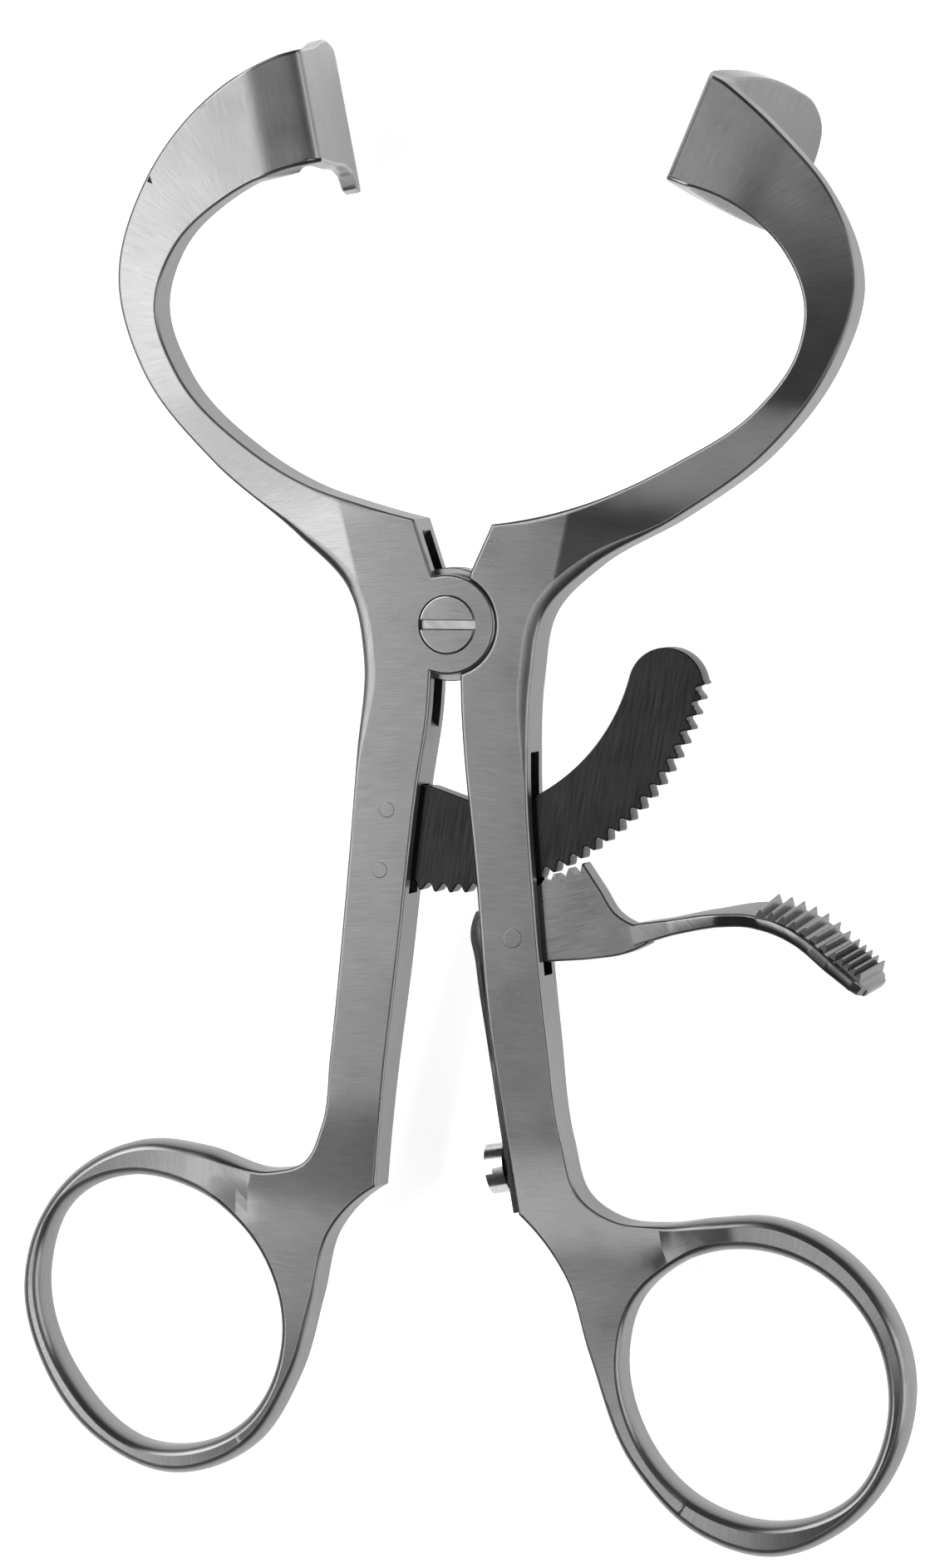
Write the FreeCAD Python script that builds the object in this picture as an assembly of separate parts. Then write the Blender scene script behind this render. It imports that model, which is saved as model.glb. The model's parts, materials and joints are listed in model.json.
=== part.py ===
"""Ratchet mouth gag of surgical steel: two box-jointed arms with bent bite plates, a toothed rack
and a spring-loaded release lever.

The pieces are drawn in the instrument's own plane: X across, Y towards the jaws, Z towards the
user, with the pivot axis on Z. At the end everything is laid on its back, as on a table.
"""
import FreeCAD
import Part
import math
import os

from FreeCAD import Vector

os.makedirs("parts", exist_ok=True)

# Joint and shanks
THICKNESS = 6.0                  # joint block and shanks, front to back
RING_THICKNESS = 4.8             # finger rings, front to back
RING_BEVEL = 1.3                 # bevel of the rings' inner edges
RING_TAPER_TOP = -42.0           # height where the shanks start to thin towards the rings
RING_TAPER_END = -54.0
DISC_RADIUS = 5.3                # round cheeks of the box joint
TONGUE_RADIUS = 6.0
TONGUE_THICKNESS = 2.9
JOINT_CLEARANCE = 0.05           # running clearance of the joint, per side
BOX_SLOT_DEPTH = 6.6             # slot behind the pivot
BOX_CUTTER_RADIUS = 16.0         # milling cutter that leaves the slot

# Pivot screw
SCREW_HEAD_DIAMETER = 6.2
SCREW_HEAD_DEPTH = 1.0
SCREW_BODY_DIAMETER = 4.2
SCREW_SLOT_WIDTH = 0.9
SCREW_SLOT_DEPTH = 0.55
SEAT_CLEARANCE = 0.02            # fixed pieces in their holes, per side

# Jaws
FRONT_TILT = 3.0                 # degrees that the arms' front face falls away outwards
JAW_STRIP = 3.2                  # thickness of the arm where it bends into the bite plate
PLATE_THICKNESS = 1.85
PLATE_DEPTH = 27.5               # front face to far edge
LEFT_PLATE_FLARE = 4.0           # lean of the far edge away from the other plate
RIGHT_PLATE_FLARE = 6.0
LEFT_BEND_RADIUS = 3.4
RIGHT_BEND_RADIUS = 2.2
BEND_INNER_RADIUS = 0.9
BACK_CUT_START = 28.0            # height above the pivot where the arm's back starts to rise
BACK_RISE_SHARE = 0.3            # share of that rise reached half-way to the bend

# Ratchet
TOOTH_PITCH = 3.4                # degrees
TOOTH_TIP_RADIUS = 28.4
TOOTH_DEPTH = 1.0
TOOTH_CREST = 0.5                # degrees of flat crest
TOOTH_GULLET = 0.6               # degrees of flat root
TOOTH_STEEP_SHARE = 0.4          # share of the flanks' angle under the steep flank
TOOTH_COUNT = 26
RACK_INNER_RADIUS = 20.2
RACK_THICKNESS = 2.8
RACK_FIRST_TOOTH = -12.0         # degrees, tip nearest the free end
RACK_END_RADIUS = 4.1            # rounded free end
RACK_END_ANGLE = -15.0           # degrees, its centre
RACK_BLEND_ANGLE = -75.8         # degrees, where the inner side turns into the tang
RACK_TANG_TOP = -17.1
RACK_TANG_DEPTH = -8.6           # inner end of the tang in the left shank
RACK_TANG_SHOULDER = -2.2        # where the tang leaves the shank on its upper side
RACK_TANG_FOOT = -4.5            # and on its toothed side
SLOT_WIDTH = 3.0                 # slots of both shanks
SLOT_END_GAP = 0.15
RIVET_DIAMETER = 1.6
RIVET_PLACES = ((-6.6, -19.6), (-7.4, -26.0))

# Release lever
LEVER_THICKNESS = 2.8
LEVER_PIN_PLACE = (7.2, -32.9)
LEVER_PIN_DIAMETER = 2.0
ENGAGE_ANGLE = 7.6               # degrees from the pawl just clear of the rack to fully home
PAWL_ANGLE = -64.0               # degrees, middle of the pawl's teeth seen from the pivot
PAWL_CLEARANCE = 0.12
PAWL_PATH = (1.0, 0.6, 0.4, 0.2) # shares of that angle at which the teeth are cleared on their way home
THUMB_STRIP = 1.5
RIDGE_COUNT = 12
RIDGE_HEIGHT = 0.9
RIDGE_BASE = 1.15
RIDGE_LENGTH = 7.2
RIDGE_START = 0.2                # first ridge, in ridge spacings from the start of the thumb piece
RIDGE_SINK = 0.2                 # how far the ridges reach into the strip

# Leaf spring and its screw
SPRING_THICKNESS = 0.5
SPRING_WIDTH = 4.0
SPRING_SCREW_PLACE = (6.55, -57.2)
SPRING_SCREW_HEAD = 5.4
SPRING_SCREW_HEIGHT = 2.0
SPRING_SCREW_BODY = 2.5
SPRING_SCREW_DEPTH = 3.4
SPRING_SCREW_SLOT = 0.8

# Outlines in the instrument's plane. Each tuple is a smooth stretch; corners lie between them.
LEFT_OUTER = ((-18.8, 60.0), (-26.1, 55.9), (-34.1, 46.2), (-36.9, 36.7), (-34.2, 26.7), (-26.2, 17.0),
              (-16.5, 9.2), (-10.9, 3.5), (-9.3, -3.5), (-10.0, -13.5), (-11.3, -29.0), (-13.1, -45.9),
              (-14.2, -53.5), (-16.2, -57.3), (-19.8, -58.3), (-27.6, -56.1), (-34.5, -55.5),
              (-41.7, -58.6), (-46.6, -64.8), (-48.1, -71.8), (-46.0, -80.0), (-39.9, -87.8),
              (-31.5, -91.2), (-22.7, -88.2), (-17.5, -80.3), (-15.1, -71.7), (-13.2, -64.6),
              (-8.1, -59.7))
LEFT_SHANK_INNER = ((-8.1, -59.7), (-7.2, -49.5), (-5.5, -35.9), (-3.3, -17.2), (-2.0, -8.6), (-1.8, -5.0))
LEFT_SHOULDER = ((-1.6, 5.1), (-3.6, 11.1))
LEFT_INNER = ((-3.6, 11.1), (-10.1, 12.8), (-15.0, 14.4), (-22.1, 18.4), (-30.2, 26.5), (-32.5, 33.6),
              (-30.4, 39.6), (-24.5, 44.9), (-16.5, 48.2))
LEFT_RING_HOLE = ((-35.6, -59.3), (-43.0, -62.6), (-45.7, -70.0), (-42.6, -80.8), (-34.2, -87.9),
                  (-23.5, -85.5), (-18.8, -75.5), (-22.6, -65.0), (-29.2, -60.5))
LEFT_BEND_LINE = ((-14.5, 48.6), (-16.8, 60.4))
LEFT_FACET = ((-9.9, 4.4), (-12.1, 13.2))
# Edges of a bite plate as depth behind the front face and height along the bend
LEFT_PLATE_FOOT = ((0.0, 0.0), (11.0, 0.1), (21.5, 0.0), (24.2, -0.6), (25.6, -2.0))
LEFT_PLATE_END = ((27.5, -2.0), (27.7, 5.0), (27.5, 12.6))
LEFT_PLATE_TOP = ((27.5, 12.6), (26.9, 13.8), (25.4, 14.2), (11.0, 13.1), (0.0, 12.0))

RIGHT_OUTER = ((30.0, 56.8), (36.2, 51.2), (41.4, 44.8), (44.0, 35.6), (41.5, 27.6), (34.4, 18.2),
               (24.9, 11.4), (15.3, 6.0), (10.6, 1.3), (9.2, -5.5), (8.8, -15.0), (9.6, -29.0),
               (11.0, -43.0), (12.6, -54.5), (14.6, -60.3), (18.5, -62.6), (23.3, -62.8), (28.8, -62.0),
               (35.0, -61.8), (41.5, -64.3), (46.8, -69.3), (50.1, -77.5), (49.0, -86.0), (43.0, -94.2),
               (35.2, -97.5), (27.3, -95.6), (19.9, -88.4), (15.4, -76.7), (12.8, -68.6), (7.7, -62.2))
RIGHT_SHANK_INNER = ((7.7, -62.2), (6.3, -53.9), (4.5, -41.9), (3.2, -27.0), (1.5, -8.0), (1.4, -5.6))
RIGHT_SHOULDER = ((2.5, 5.4), (4.9, 10.6))
RIGHT_INNER = ((4.9, 10.6), (13.5, 12.3), (24.9, 17.2), (33.2, 22.6), (37.7, 28.9), (38.4, 33.5),
               (36.3, 39.0), (32.0, 43.2), (25.4, 46.0))
RIGHT_RING_HOLE = ((32.0, -65.2), (25.0, -66.9), (20.2, -71.3), (18.8, -76.9), (20.5, -84.4),
                   (26.7, -91.5), (35.9, -93.8), (43.6, -90.7), (47.3, -83.3), (46.5, -74.9), (40.8, -67.9))
RIGHT_BEND_LINE = ((23.6, 46.8), (28.2, 57.6))
RIGHT_FACET = ((11.4, 2.9), (13.3, 11.6))
RIGHT_PLATE_FOOT = ((0.0, 0.0), (10.0, -1.6), (18.5, -2.6), (27.0, -3.2))
RIGHT_PLATE_END = ((27.5, -2.8), (27.9, 1.5), (27.5, 5.4))
RIGHT_PLATE_TOP = ((27.5, 5.4), (26.5, 8.7), (22.5, 11.5), (17.0, 12.6), (9.0, 13.0), (0.0, 11.7))

RIGHT_SLOT = ((-2.0, -13.4), (14.0, -13.4), (14.0, -36.9), (9.0, -36.9), (4.0, -44.0), (-2.0, -44.0))
LEVER_TOP = ((14.3, -24.65), (16.4, -27.7), (18.1, -30.2), (20.4, -31.4))
LEVER_FOOT = ((21.6, -33.3), (18.8, -34.5), (15.8, -35.0), (9.5, -35.6), (5.2, -36.4), (3.75, -35.4))
LEVER_BACK = ((3.75, -35.4), (5.6, -30.9), (8.0, -28.6), (10.6, -26.45))
# Centre of the strip (x, y), its thickness, its width and its cant towards the user in degrees
LEVER_STRIP = ((19.8, -32.5, 2.4, 2.8, 0.0), (24.0, -31.5, 1.7, 2.9, 3.0), (29.0, -30.5, 1.5, 4.0, 7.0),
               (34.0, -30.2, 1.5, 7.0, 10.0), (38.3, -31.6, 1.5, 8.0, 10.0), (42.2, -34.6, 1.5, 8.0, 10.0),
               (45.6, -37.4, 1.4, 7.4, 10.0))
SPRING_LINE = ((7.3, -62.0), (5.95, -53.9), (4.55, -45.0), (3.2, -36.2), (2.75, -31.4), (3.2, -30.3))

HALF = THICKNESS / 2
FRONT_AXIS = Vector(0, 0, 1)
REACH = 200.0                    # longer than the instrument, for cutting tools
TOUCHING = 1e-3
QUARTER_TURN = 90.0
SUPPORT_TOLERANCE = 0.02         # for finding the points that the instrument lies on


def flat(point, height=0.0):
    """A point of the instrument's plane as a vector."""
    return Vector(point[0], point[1], height)


def left_of(direction):
    """The direction turned by 90 degrees to the left."""
    return Vector(-direction.y, direction.x, 0)


def arc_from(start, end, tangent):
    """The arc that leaves start along tangent and ends at end, or a line where it is straight."""
    chord = end - start
    across = left_of(chord)
    half_turn = math.atan2(tangent.dot(across), tangent.dot(chord))
    if abs(half_turn) < 1e-4:
        return Part.LineSegment(start, end).toShape()
    middle = (start + end) * 0.5 + across * (math.tan(half_turn / 2) / 2)
    return Part.Arc(start, middle, end).toShape()


def circle_tangent(before, here, after):
    """Direction at here of the circle through three points."""
    arrive = here - before
    leave = after - here
    direction = arrive * leave.dot(leave) + leave * arrive.dot(arrive)
    return direction.normalize()


def smooth_edges(points, closed=False):
    """Tangent arcs through the points: two arcs from each point to the next."""
    places = [flat(point) for point in points]
    count = len(places)
    if count == 2:
        return [Part.LineSegment(places[0], places[1]).toShape()]
    tangents = []
    for index, place in enumerate(places):
        if closed or 0 < index < count - 1:
            tangents.append(circle_tangent(places[index - 1], place, places[(index + 1) % count]))
        else:
            tangents.append(None)
    if not closed:
        for end, near in ((0, 1), (-1, -2)):
            chord = (places[near] - places[end]).normalize()
            tangents[end] = chord * (2 * chord.dot(tangents[near])) - tangents[near]
        places_after = places[1:]
        tangents_after = tangents[1:]
    else:
        places_after = places[1:] + places[:1]
        tangents_after = tangents[1:] + tangents[:1]
    edges = []
    for start, out, end, into in zip(places, tangents, places_after, tangents_after):
        span = end - start
        both = out + into
        bend = 2 * (1 - out.dot(into))
        along = span.dot(both)
        if bend < 1e-6:
            reach = span.dot(span) / (2 * along)
        else:
            reach = (math.sqrt(along * along + bend * span.dot(span)) - along) / bend
        middle = (start + end + (out - into) * reach) * 0.5
        middle_out = (end - into * reach - start - out * reach).normalize()
        edges.append(arc_from(start, middle, out))
        edges.append(arc_from(middle, end, middle_out))
    return edges


def face_of(*stretches):
    """A face bounded by smooth stretches, joined by straight edges where their ends are apart."""
    edges = []
    for index, stretch in enumerate(stretches):
        if stretch[0] != stretches[index - 1][-1]:
            edges.append(Part.LineSegment(flat(stretches[index - 1][-1]), flat(stretch[0])).toShape())
        edges.extend(smooth_edges(stretch))
    return Part.Face(Part.Wire(Part.__sortEdges__(edges)))


def slab(face, low, high):
    """A face of the instrument's plane made solid from one height to another."""
    lifted = face.copy()
    lifted.translate(Vector(0, 0, low))
    return lifted.extrude(Vector(0, 0, high - low))


def round_bar(place, radius, low, high):
    """A cylinder along the pivot's direction."""
    return Part.makeCylinder(radius, high - low, flat(place, low))


def side_prism(points):
    """A prism across the instrument whose outline is given as height along Y and Z."""
    corners = [Vector(-REACH, y, z) for y, z in points]
    face = Part.Face(Part.makePolygon(corners + corners[:1]))
    return face.extrude(Vector(2 * REACH, 0, 0))


def facet_normal(facet, side):
    """Direction in the plane, square to the facet line and away from the joint."""
    along = (flat(facet[1]) - flat(facet[0])).normalize()
    return left_of(along) * -side


def front_height(facet, side, place):
    """Height of the tilted front face of an arm above a place in the plane."""
    outward = (flat(place) - flat(facet[0])).dot(facet_normal(facet, side))
    return HALF - outward * math.tan(math.radians(FRONT_TILT))


def above_front(facet, side):
    """Everything above the tilted front face of an arm."""
    outward = facet_normal(facet, side)
    along = left_of(outward)
    lean = math.tan(math.radians(FRONT_TILT))
    start = flat(facet[0], HALF) - along * REACH
    near = start - outward * REACH + FRONT_AXIS * (REACH * lean)
    far = start + outward * REACH - FRONT_AXIS * (REACH * lean)
    top = FRONT_AXIS * REACH
    face = Part.Face(Part.makePolygon([near, far, far + top, near + top, near]))
    return face.extrude(along * (2 * REACH))


def arm_zone(facet, side):
    """The part of the plane beyond the facet line, where the front face is tilted."""
    along = (flat(facet[1]) - flat(facet[0])).normalize()
    foot = flat(facet[0]) - along
    neck = flat(facet[1])
    crown = Vector(neck.x, neck.y + THICKNESS, 0)
    corners = [foot, neck, crown, Vector(-side * REACH, crown.y, 0), Vector(-side * REACH, REACH, 0),
               Vector(side * REACH, REACH, 0), Vector(side * REACH, foot.y, 0)]
    return slab(Part.Face(Part.makePolygon(corners + corners[:1])), -REACH, REACH)


def bend_axes(bend_line, side):
    """Foot of the bend, the direction along it and the direction towards the other jaw."""
    foot = flat(bend_line[0])
    up = (flat(bend_line[1]) - foot).normalize()
    return foot, up, left_of(up) * side


def band(bend_line, side, start, end):
    """The part of the plane between two distances from the bend line, measured towards the other jaw."""
    foot, up, inward = bend_axes(bend_line, side)
    low = foot - up * REACH
    high = foot + up * REACH
    corners = [low + inward * start, low + inward * end, high + inward * end, high + inward * start]
    return Part.Face(Part.makePolygon(corners + corners[:1]))


def bent_jaw(plan, bend_line, edges, zf, side, bend_radius, flare):
    """The jaw's end: the strip leaves the arm, turns round the bend and goes back as the bite plate.

    Its section is drawn square to the bend; the plate's own edges are cut from the side.
    """
    foot, up, inward = bend_axes(bend_line, side)
    lean = math.atan(flare / (PLATE_DEPTH - bend_radius))

    def at(a, z):
        return foot + inward * a + FRONT_AXIS * z

    normal = (math.cos(lean), -math.sin(lean))
    middle = (math.pi / 2 - lean) / 2
    turn = (-bend_radius, zf - bend_radius)
    tangent = (turn[0] + bend_radius * normal[0], turn[1] + bend_radius * normal[1])
    crown = (turn[0] + bend_radius * math.cos(middle), turn[1] + bend_radius * math.sin(middle))
    length = (tangent[1] - zf + PLATE_DEPTH) / math.cos(lean)
    end = (tangent[0] - length * math.sin(lean), tangent[1] - length * math.cos(lean))
    end_out = (end[0] - PLATE_THICKNESS * normal[0], end[1] - PLATE_THICKNESS * normal[1])
    under = zf - JAW_STRIP
    hollow_z = under - BEND_INNER_RADIUS
    hollow_a = (tangent[0] - (tangent[1] - hollow_z) * math.tan(lean)
                - (PLATE_THICKNESS + BEND_INNER_RADIUS) / math.cos(lean))
    hollow_side = (hollow_a + BEND_INNER_RADIUS * normal[0], hollow_z + BEND_INNER_RADIUS * normal[1])
    hollow_mid = (hollow_a + BEND_INNER_RADIUS * math.cos(middle),
                  hollow_z + BEND_INNER_RADIUS * math.sin(middle))
    root = min(hollow_a, turn[0]) - BEND_INNER_RADIUS
    stretches = [Part.makePolygon([at(hollow_a, under), at(root, under), at(root, zf), at(turn[0], zf)]),
                 Part.Arc(at(turn[0], zf), at(*crown), at(*tangent)).toShape(),
                 Part.makePolygon([at(*tangent), at(*end), at(*end_out), at(*hollow_side)]),
                 Part.Arc(at(*hollow_side), at(*hollow_mid), at(hollow_a, under)).toShape()]
    section = Part.Face(Part.Wire(Part.__sortEdges__([edge for item in stretches for edge in item.Edges])))
    section.translate(up * -REACH)
    strip = section.extrude(up * (2 * REACH))

    to_side = FreeCAD.Matrix(0, up.x, inward.x, foot.x, 0, up.y, inward.y, foot.y, -1, 0, 0, zf, 0, 0, 0, 1)
    profile = face_of(*edges).transformed(to_side)
    profile.translate(inward * -REACH)
    places = [corner.Point - foot for corner in plan.Vertexes]
    arm_end = max(place.dot(inward) for place in places if place.dot(up) > -PLATE_THICKNESS)
    neck = slab(band(bend_line, side, -REACH, arm_end), hollow_z, REACH)
    plate = strip.common(profile.extrude(inward * (2 * REACH))).cut(neck)
    return slab(band(bend_line, side, root, REACH), -REACH, REACH), strip.common(neck), plate


def arm_blank(outline, hole, facet, bend_line, plate_edges, side, bend_radius, flare):
    """One forged arm before its slots: jaw, joint block, shank and finger ring."""
    face = face_of(*outline).cut(Part.Face(Part.Wire(smooth_edges(hole, True)))).Faces[0]
    whole = slab(face, -HALF, HALF)
    half_ring = RING_THICKNESS / 2
    for sign in (1, -1):
        thin = side_prism(((RING_TAPER_TOP, sign * HALF), (RING_TAPER_END, sign * half_ring),
                           (-REACH, sign * half_ring), (-REACH, sign * 2 * HALF),
                           (RING_TAPER_TOP, sign * 2 * HALF)))
        whole = whole.cut(thin)
    whole = bevel_hole(whole, hole)
    zone = arm_zone(facet, side)
    low = whole.cut(zone)
    zf = front_height(facet, side, bend_line[0])
    under = zf - JAW_STRIP
    end_y = bend_line[0][1]
    rise = Vector(-REACH, (BACK_CUT_START + end_y) / 2, BACK_RISE_SHARE * (under + HALF) - HALF)
    back = Part.Wire([Part.Arc(Vector(-REACH, BACK_CUT_START, -HALF), rise,
                               Vector(-REACH, end_y, under)).toShape(),
                      Part.makePolygon([Vector(-REACH, end_y, under), Vector(-REACH, REACH, under),
                                        Vector(-REACH, REACH, -REACH),
                                        Vector(-REACH, BACK_CUT_START, -REACH),
                                        Vector(-REACH, BACK_CUT_START, -HALF)])])
    jaw = slab(face, -HALF, 2 * HALF).common(zone).cut(above_front(facet, side))
    jaw = jaw.cut(Part.Face(back).extrude(Vector(2 * REACH, 0, 0)))
    past_root, neck, plate = bent_jaw(face, bend_line, plate_edges, zf, side, bend_radius, flare)
    neck = neck.common(slab(face, -REACH, REACH))
    end = neck.fuse(plate).cut(above_front(facet, side))
    return low.fuse([jaw.cut(past_root), end]).removeSplitter()


def bevel_hole(solid, hole):
    """The bevelled inner side of a finger ring."""
    rim = Part.Wire(smooth_edges(hole, True))
    chosen = []
    for edge in solid.Edges:
        middle = edge.valueAt((edge.FirstParameter + edge.LastParameter) / 2)
        near = Part.Vertex(flat(middle)).distToShape(rim)[0]
        if near < TOUCHING and abs(abs(middle.z) - RING_THICKNESS / 2) < TOUCHING:
            chosen.append(edge)
    return solid.makeChamfer(RING_BEVEL, chosen)


def left_arm():
    """Slotted side of the box joint, with the left jaw and ring."""
    outline = (LEFT_OUTER, LEFT_SHANK_INNER, LEFT_SHOULDER, LEFT_INNER)
    plate_edges = (LEFT_PLATE_FOOT, LEFT_PLATE_END, LEFT_PLATE_TOP)
    arm = arm_blank(outline, LEFT_RING_HOLE, LEFT_FACET, LEFT_BEND_LINE, plate_edges, -1,
                    LEFT_BEND_RADIUS, LEFT_PLATE_FLARE)
    arm = arm.fuse(round_bar((0, 0), DISC_RADIUS, -HALF, HALF)).removeSplitter()
    half_slot = TONGUE_THICKNESS / 2 + JOINT_CLEARANCE
    cutter_place = (BOX_CUTTER_RADIUS - BOX_SLOT_DEPTH, 0)
    arm = arm.cut(round_bar(cutter_place, BOX_CUTTER_RADIUS, -half_slot, half_slot))
    head = SCREW_HEAD_DIAMETER / 2 + SEAT_CLEARANCE
    body = SCREW_BODY_DIAMETER / 2 + SEAT_CLEARANCE
    arm = arm.cut(round_bar((0, 0), head, HALF - SCREW_HEAD_DEPTH - SEAT_CLEARANCE, REACH))
    arm = arm.cut(round_bar((0, 0), body, -REACH, REACH))
    arm = arm.cut(slab(tang_face(SLOT_END_GAP), -SLOT_WIDTH / 2, SLOT_WIDTH / 2))
    for place in RIVET_PLACES:
        arm = arm.cut(round_bar(place, RIVET_DIAMETER / 2 + SEAT_CLEARANCE, -REACH, REACH))
    return arm


def right_arm():
    """Tongue side of the box joint, with the right jaw, the slotted shank and the ring."""
    outline = (RIGHT_OUTER, RIGHT_SHANK_INNER, RIGHT_SHOULDER, RIGHT_INNER)
    plate_edges = (RIGHT_PLATE_FOOT, RIGHT_PLATE_END, RIGHT_PLATE_TOP)
    arm = arm_blank(outline, RIGHT_RING_HOLE, RIGHT_FACET, RIGHT_BEND_LINE, plate_edges, 1,
                    RIGHT_BEND_RADIUS, RIGHT_PLATE_FLARE)
    half_tongue = TONGUE_THICKNESS / 2
    recess = DISC_RADIUS + JOINT_CLEARANCE
    arm = arm.fuse(round_bar((0, 0), TONGUE_RADIUS, -half_tongue, half_tongue))
    for low, high in ((half_tongue, REACH), (-REACH, -half_tongue)):
        arm = arm.cut(round_bar((0, 0), recess, low, high))
    arm = arm.cut(round_bar((0, 0), SCREW_BODY_DIAMETER / 2 + JOINT_CLEARANCE, -REACH, REACH))
    slot = Part.Face(Part.makePolygon([flat(point) for point in RIGHT_SLOT + RIGHT_SLOT[:1]]))
    arm = arm.cut(slab(slot, -SLOT_WIDTH / 2, SLOT_WIDTH / 2))
    arm = arm.cut(round_bar(LEVER_PIN_PLACE, LEVER_PIN_DIAMETER / 2 + SEAT_CLEARANCE, -REACH, REACH))
    arm = arm.cut(spring_screw_bar(SPRING_SCREW_BODY / 2 + SEAT_CLEARANCE, -SEAT_CLEARANCE * 2,
                                   -SPRING_SCREW_DEPTH - SEAT_CLEARANCE))
    return arm.removeSplitter()


def pivot_screw():
    """Slotted screw, dressed flush with both cheeks."""
    head = round_bar((0, 0), SCREW_HEAD_DIAMETER / 2, HALF - SCREW_HEAD_DEPTH, HALF)
    body = round_bar((0, 0), SCREW_BODY_DIAMETER / 2, -HALF, HALF - SCREW_HEAD_DEPTH / 2)
    slot = Part.makeBox(2 * SCREW_HEAD_DIAMETER, SCREW_SLOT_WIDTH, REACH,
                        Vector(-SCREW_HEAD_DIAMETER, -SCREW_SLOT_WIDTH / 2, HALF - SCREW_SLOT_DEPTH))
    return head.fuse(body).cut(slot).removeSplitter()


def polar(radius, degrees):
    """A point of the plane by its distance from the pivot and its angle from X."""
    return (radius * math.cos(math.radians(degrees)), radius * math.sin(math.radians(degrees)))


def tooth_points(grow):
    """Outline of the rack's teeth from the free end towards the tang, grown by a clearance."""
    tip = TOOTH_TIP_RADIUS + grow
    root = tip - TOOTH_DEPTH
    widen = math.degrees(grow / TOOTH_TIP_RADIUS)
    flanks = TOOTH_PITCH - TOOTH_CREST - TOOTH_GULLET
    steep = flanks * TOOTH_STEEP_SHARE
    points = []
    for index in range(TOOTH_COUNT):
        crest = RACK_FIRST_TOOTH - index * TOOTH_PITCH
        points.append(polar(root, crest + TOOTH_CREST / 2 + flanks - steep + widen))
        points.append(polar(tip, crest + TOOTH_CREST / 2 + widen))
        points.append(polar(tip, crest - TOOTH_CREST / 2 - widen))
        points.append(polar(root, crest - TOOTH_CREST / 2 - steep - widen))
    return points


def tang_face(gap):
    """The square tang that sits in the left shank, or its slot with a gap all round."""
    top = RACK_TANG_TOP + gap
    bottom = -TOOTH_TIP_RADIUS - gap
    inner = RACK_TANG_DEPTH - gap
    corners = [flat((inner, top)), flat((0, top)), flat((0, bottom)), flat((inner, bottom))]
    return Part.Face(Part.makePolygon(corners + corners[:1]))


def toothed_sector(grow):
    """The toothed part of the rack as a face."""
    teeth = tooth_points(grow)
    last = RACK_FIRST_TOOTH - TOOTH_COUNT * TOOTH_PITCH
    edges = [Part.makePolygon([flat(point) for point in teeth]),
             Part.makePolygon([flat(teeth[-1]), flat(polar(RACK_INNER_RADIUS, last))]),
             Part.Arc(flat(polar(RACK_INNER_RADIUS, last)), flat(polar(RACK_INNER_RADIUS, last / 2)),
                      flat(polar(RACK_INNER_RADIUS, RACK_END_ANGLE))).toShape(),
             Part.makePolygon([flat(polar(RACK_INNER_RADIUS, RACK_END_ANGLE)), flat(teeth[0])])]
    return Part.Face(Part.Wire(Part.__sortEdges__([edge for item in edges for edge in item.Edges])))


def ratchet_rack():
    """Toothed arc about the pivot, with its tang and its rounded free end."""
    sector = slab(toothed_sector(0.0), -RACK_THICKNESS / 2, RACK_THICKNESS / 2)
    end_place = polar(RACK_INNER_RADIUS + RACK_END_RADIUS, RACK_END_ANGLE)
    rounded = round_bar(end_place, RACK_END_RADIUS, -RACK_THICKNESS / 2, RACK_THICKNESS / 2)
    past_teeth = Part.makePolygon([flat((0, 0)), flat(polar(REACH, RACK_FIRST_TOOTH)),
                                   flat(polar(REACH, RACK_FIRST_TOOTH + QUARTER_TURN)), flat((0, 0))])
    past_teeth = slab(Part.Face(past_teeth), -HALF, HALF)
    gullets = round_bar((0, 0), TOOTH_TIP_RADIUS - TOOTH_DEPTH, -HALF, HALF)
    rounded = rounded.common(gullets.fuse(past_teeth))
    top = RACK_TANG_TOP
    root = TOOTH_DEPTH + PAWL_CLEARANCE - TOOTH_TIP_RADIUS
    corners = [flat((RACK_TANG_DEPTH, top)), flat((RACK_TANG_SHOULDER, top)),
               flat(polar(RACK_INNER_RADIUS, RACK_BLEND_ANGLE)), flat((0, root)),
               flat((RACK_TANG_FOOT, root)), flat((RACK_TANG_DEPTH, root))]
    tang = slab(Part.Face(Part.makePolygon(corners + corners[:1])), -RACK_THICKNESS / 2, RACK_THICKNESS / 2)
    rack = sector.fuse([rounded, tang]).removeSplitter()
    for place in RIVET_PLACES:
        rack = rack.cut(round_bar(place, RIVET_DIAMETER / 2 + SEAT_CLEARANCE, -REACH, REACH))
    return rack


def rack_rivets():
    """Two rivets through the left shank and the tang, dressed flush."""
    return Part.makeCompound([round_bar(place, RIVET_DIAMETER / 2, -HALF, HALF) for place in RIVET_PLACES])


def strip_section(centre, tangent, thickness, width, cant):
    """A rectangular section of the lever's strip, canted about the strip's own direction."""
    turn = FreeCAD.Rotation(tangent, cant)
    across = turn.multVec(FRONT_AXIS) * (width / 2)
    over = turn.multVec(left_of(tangent)) * (thickness / 2)
    corners = [centre + across + over, centre + across - over,
               centre - across - over, centre - across + over]
    return Part.makePolygon(corners + corners[:1])


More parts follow.
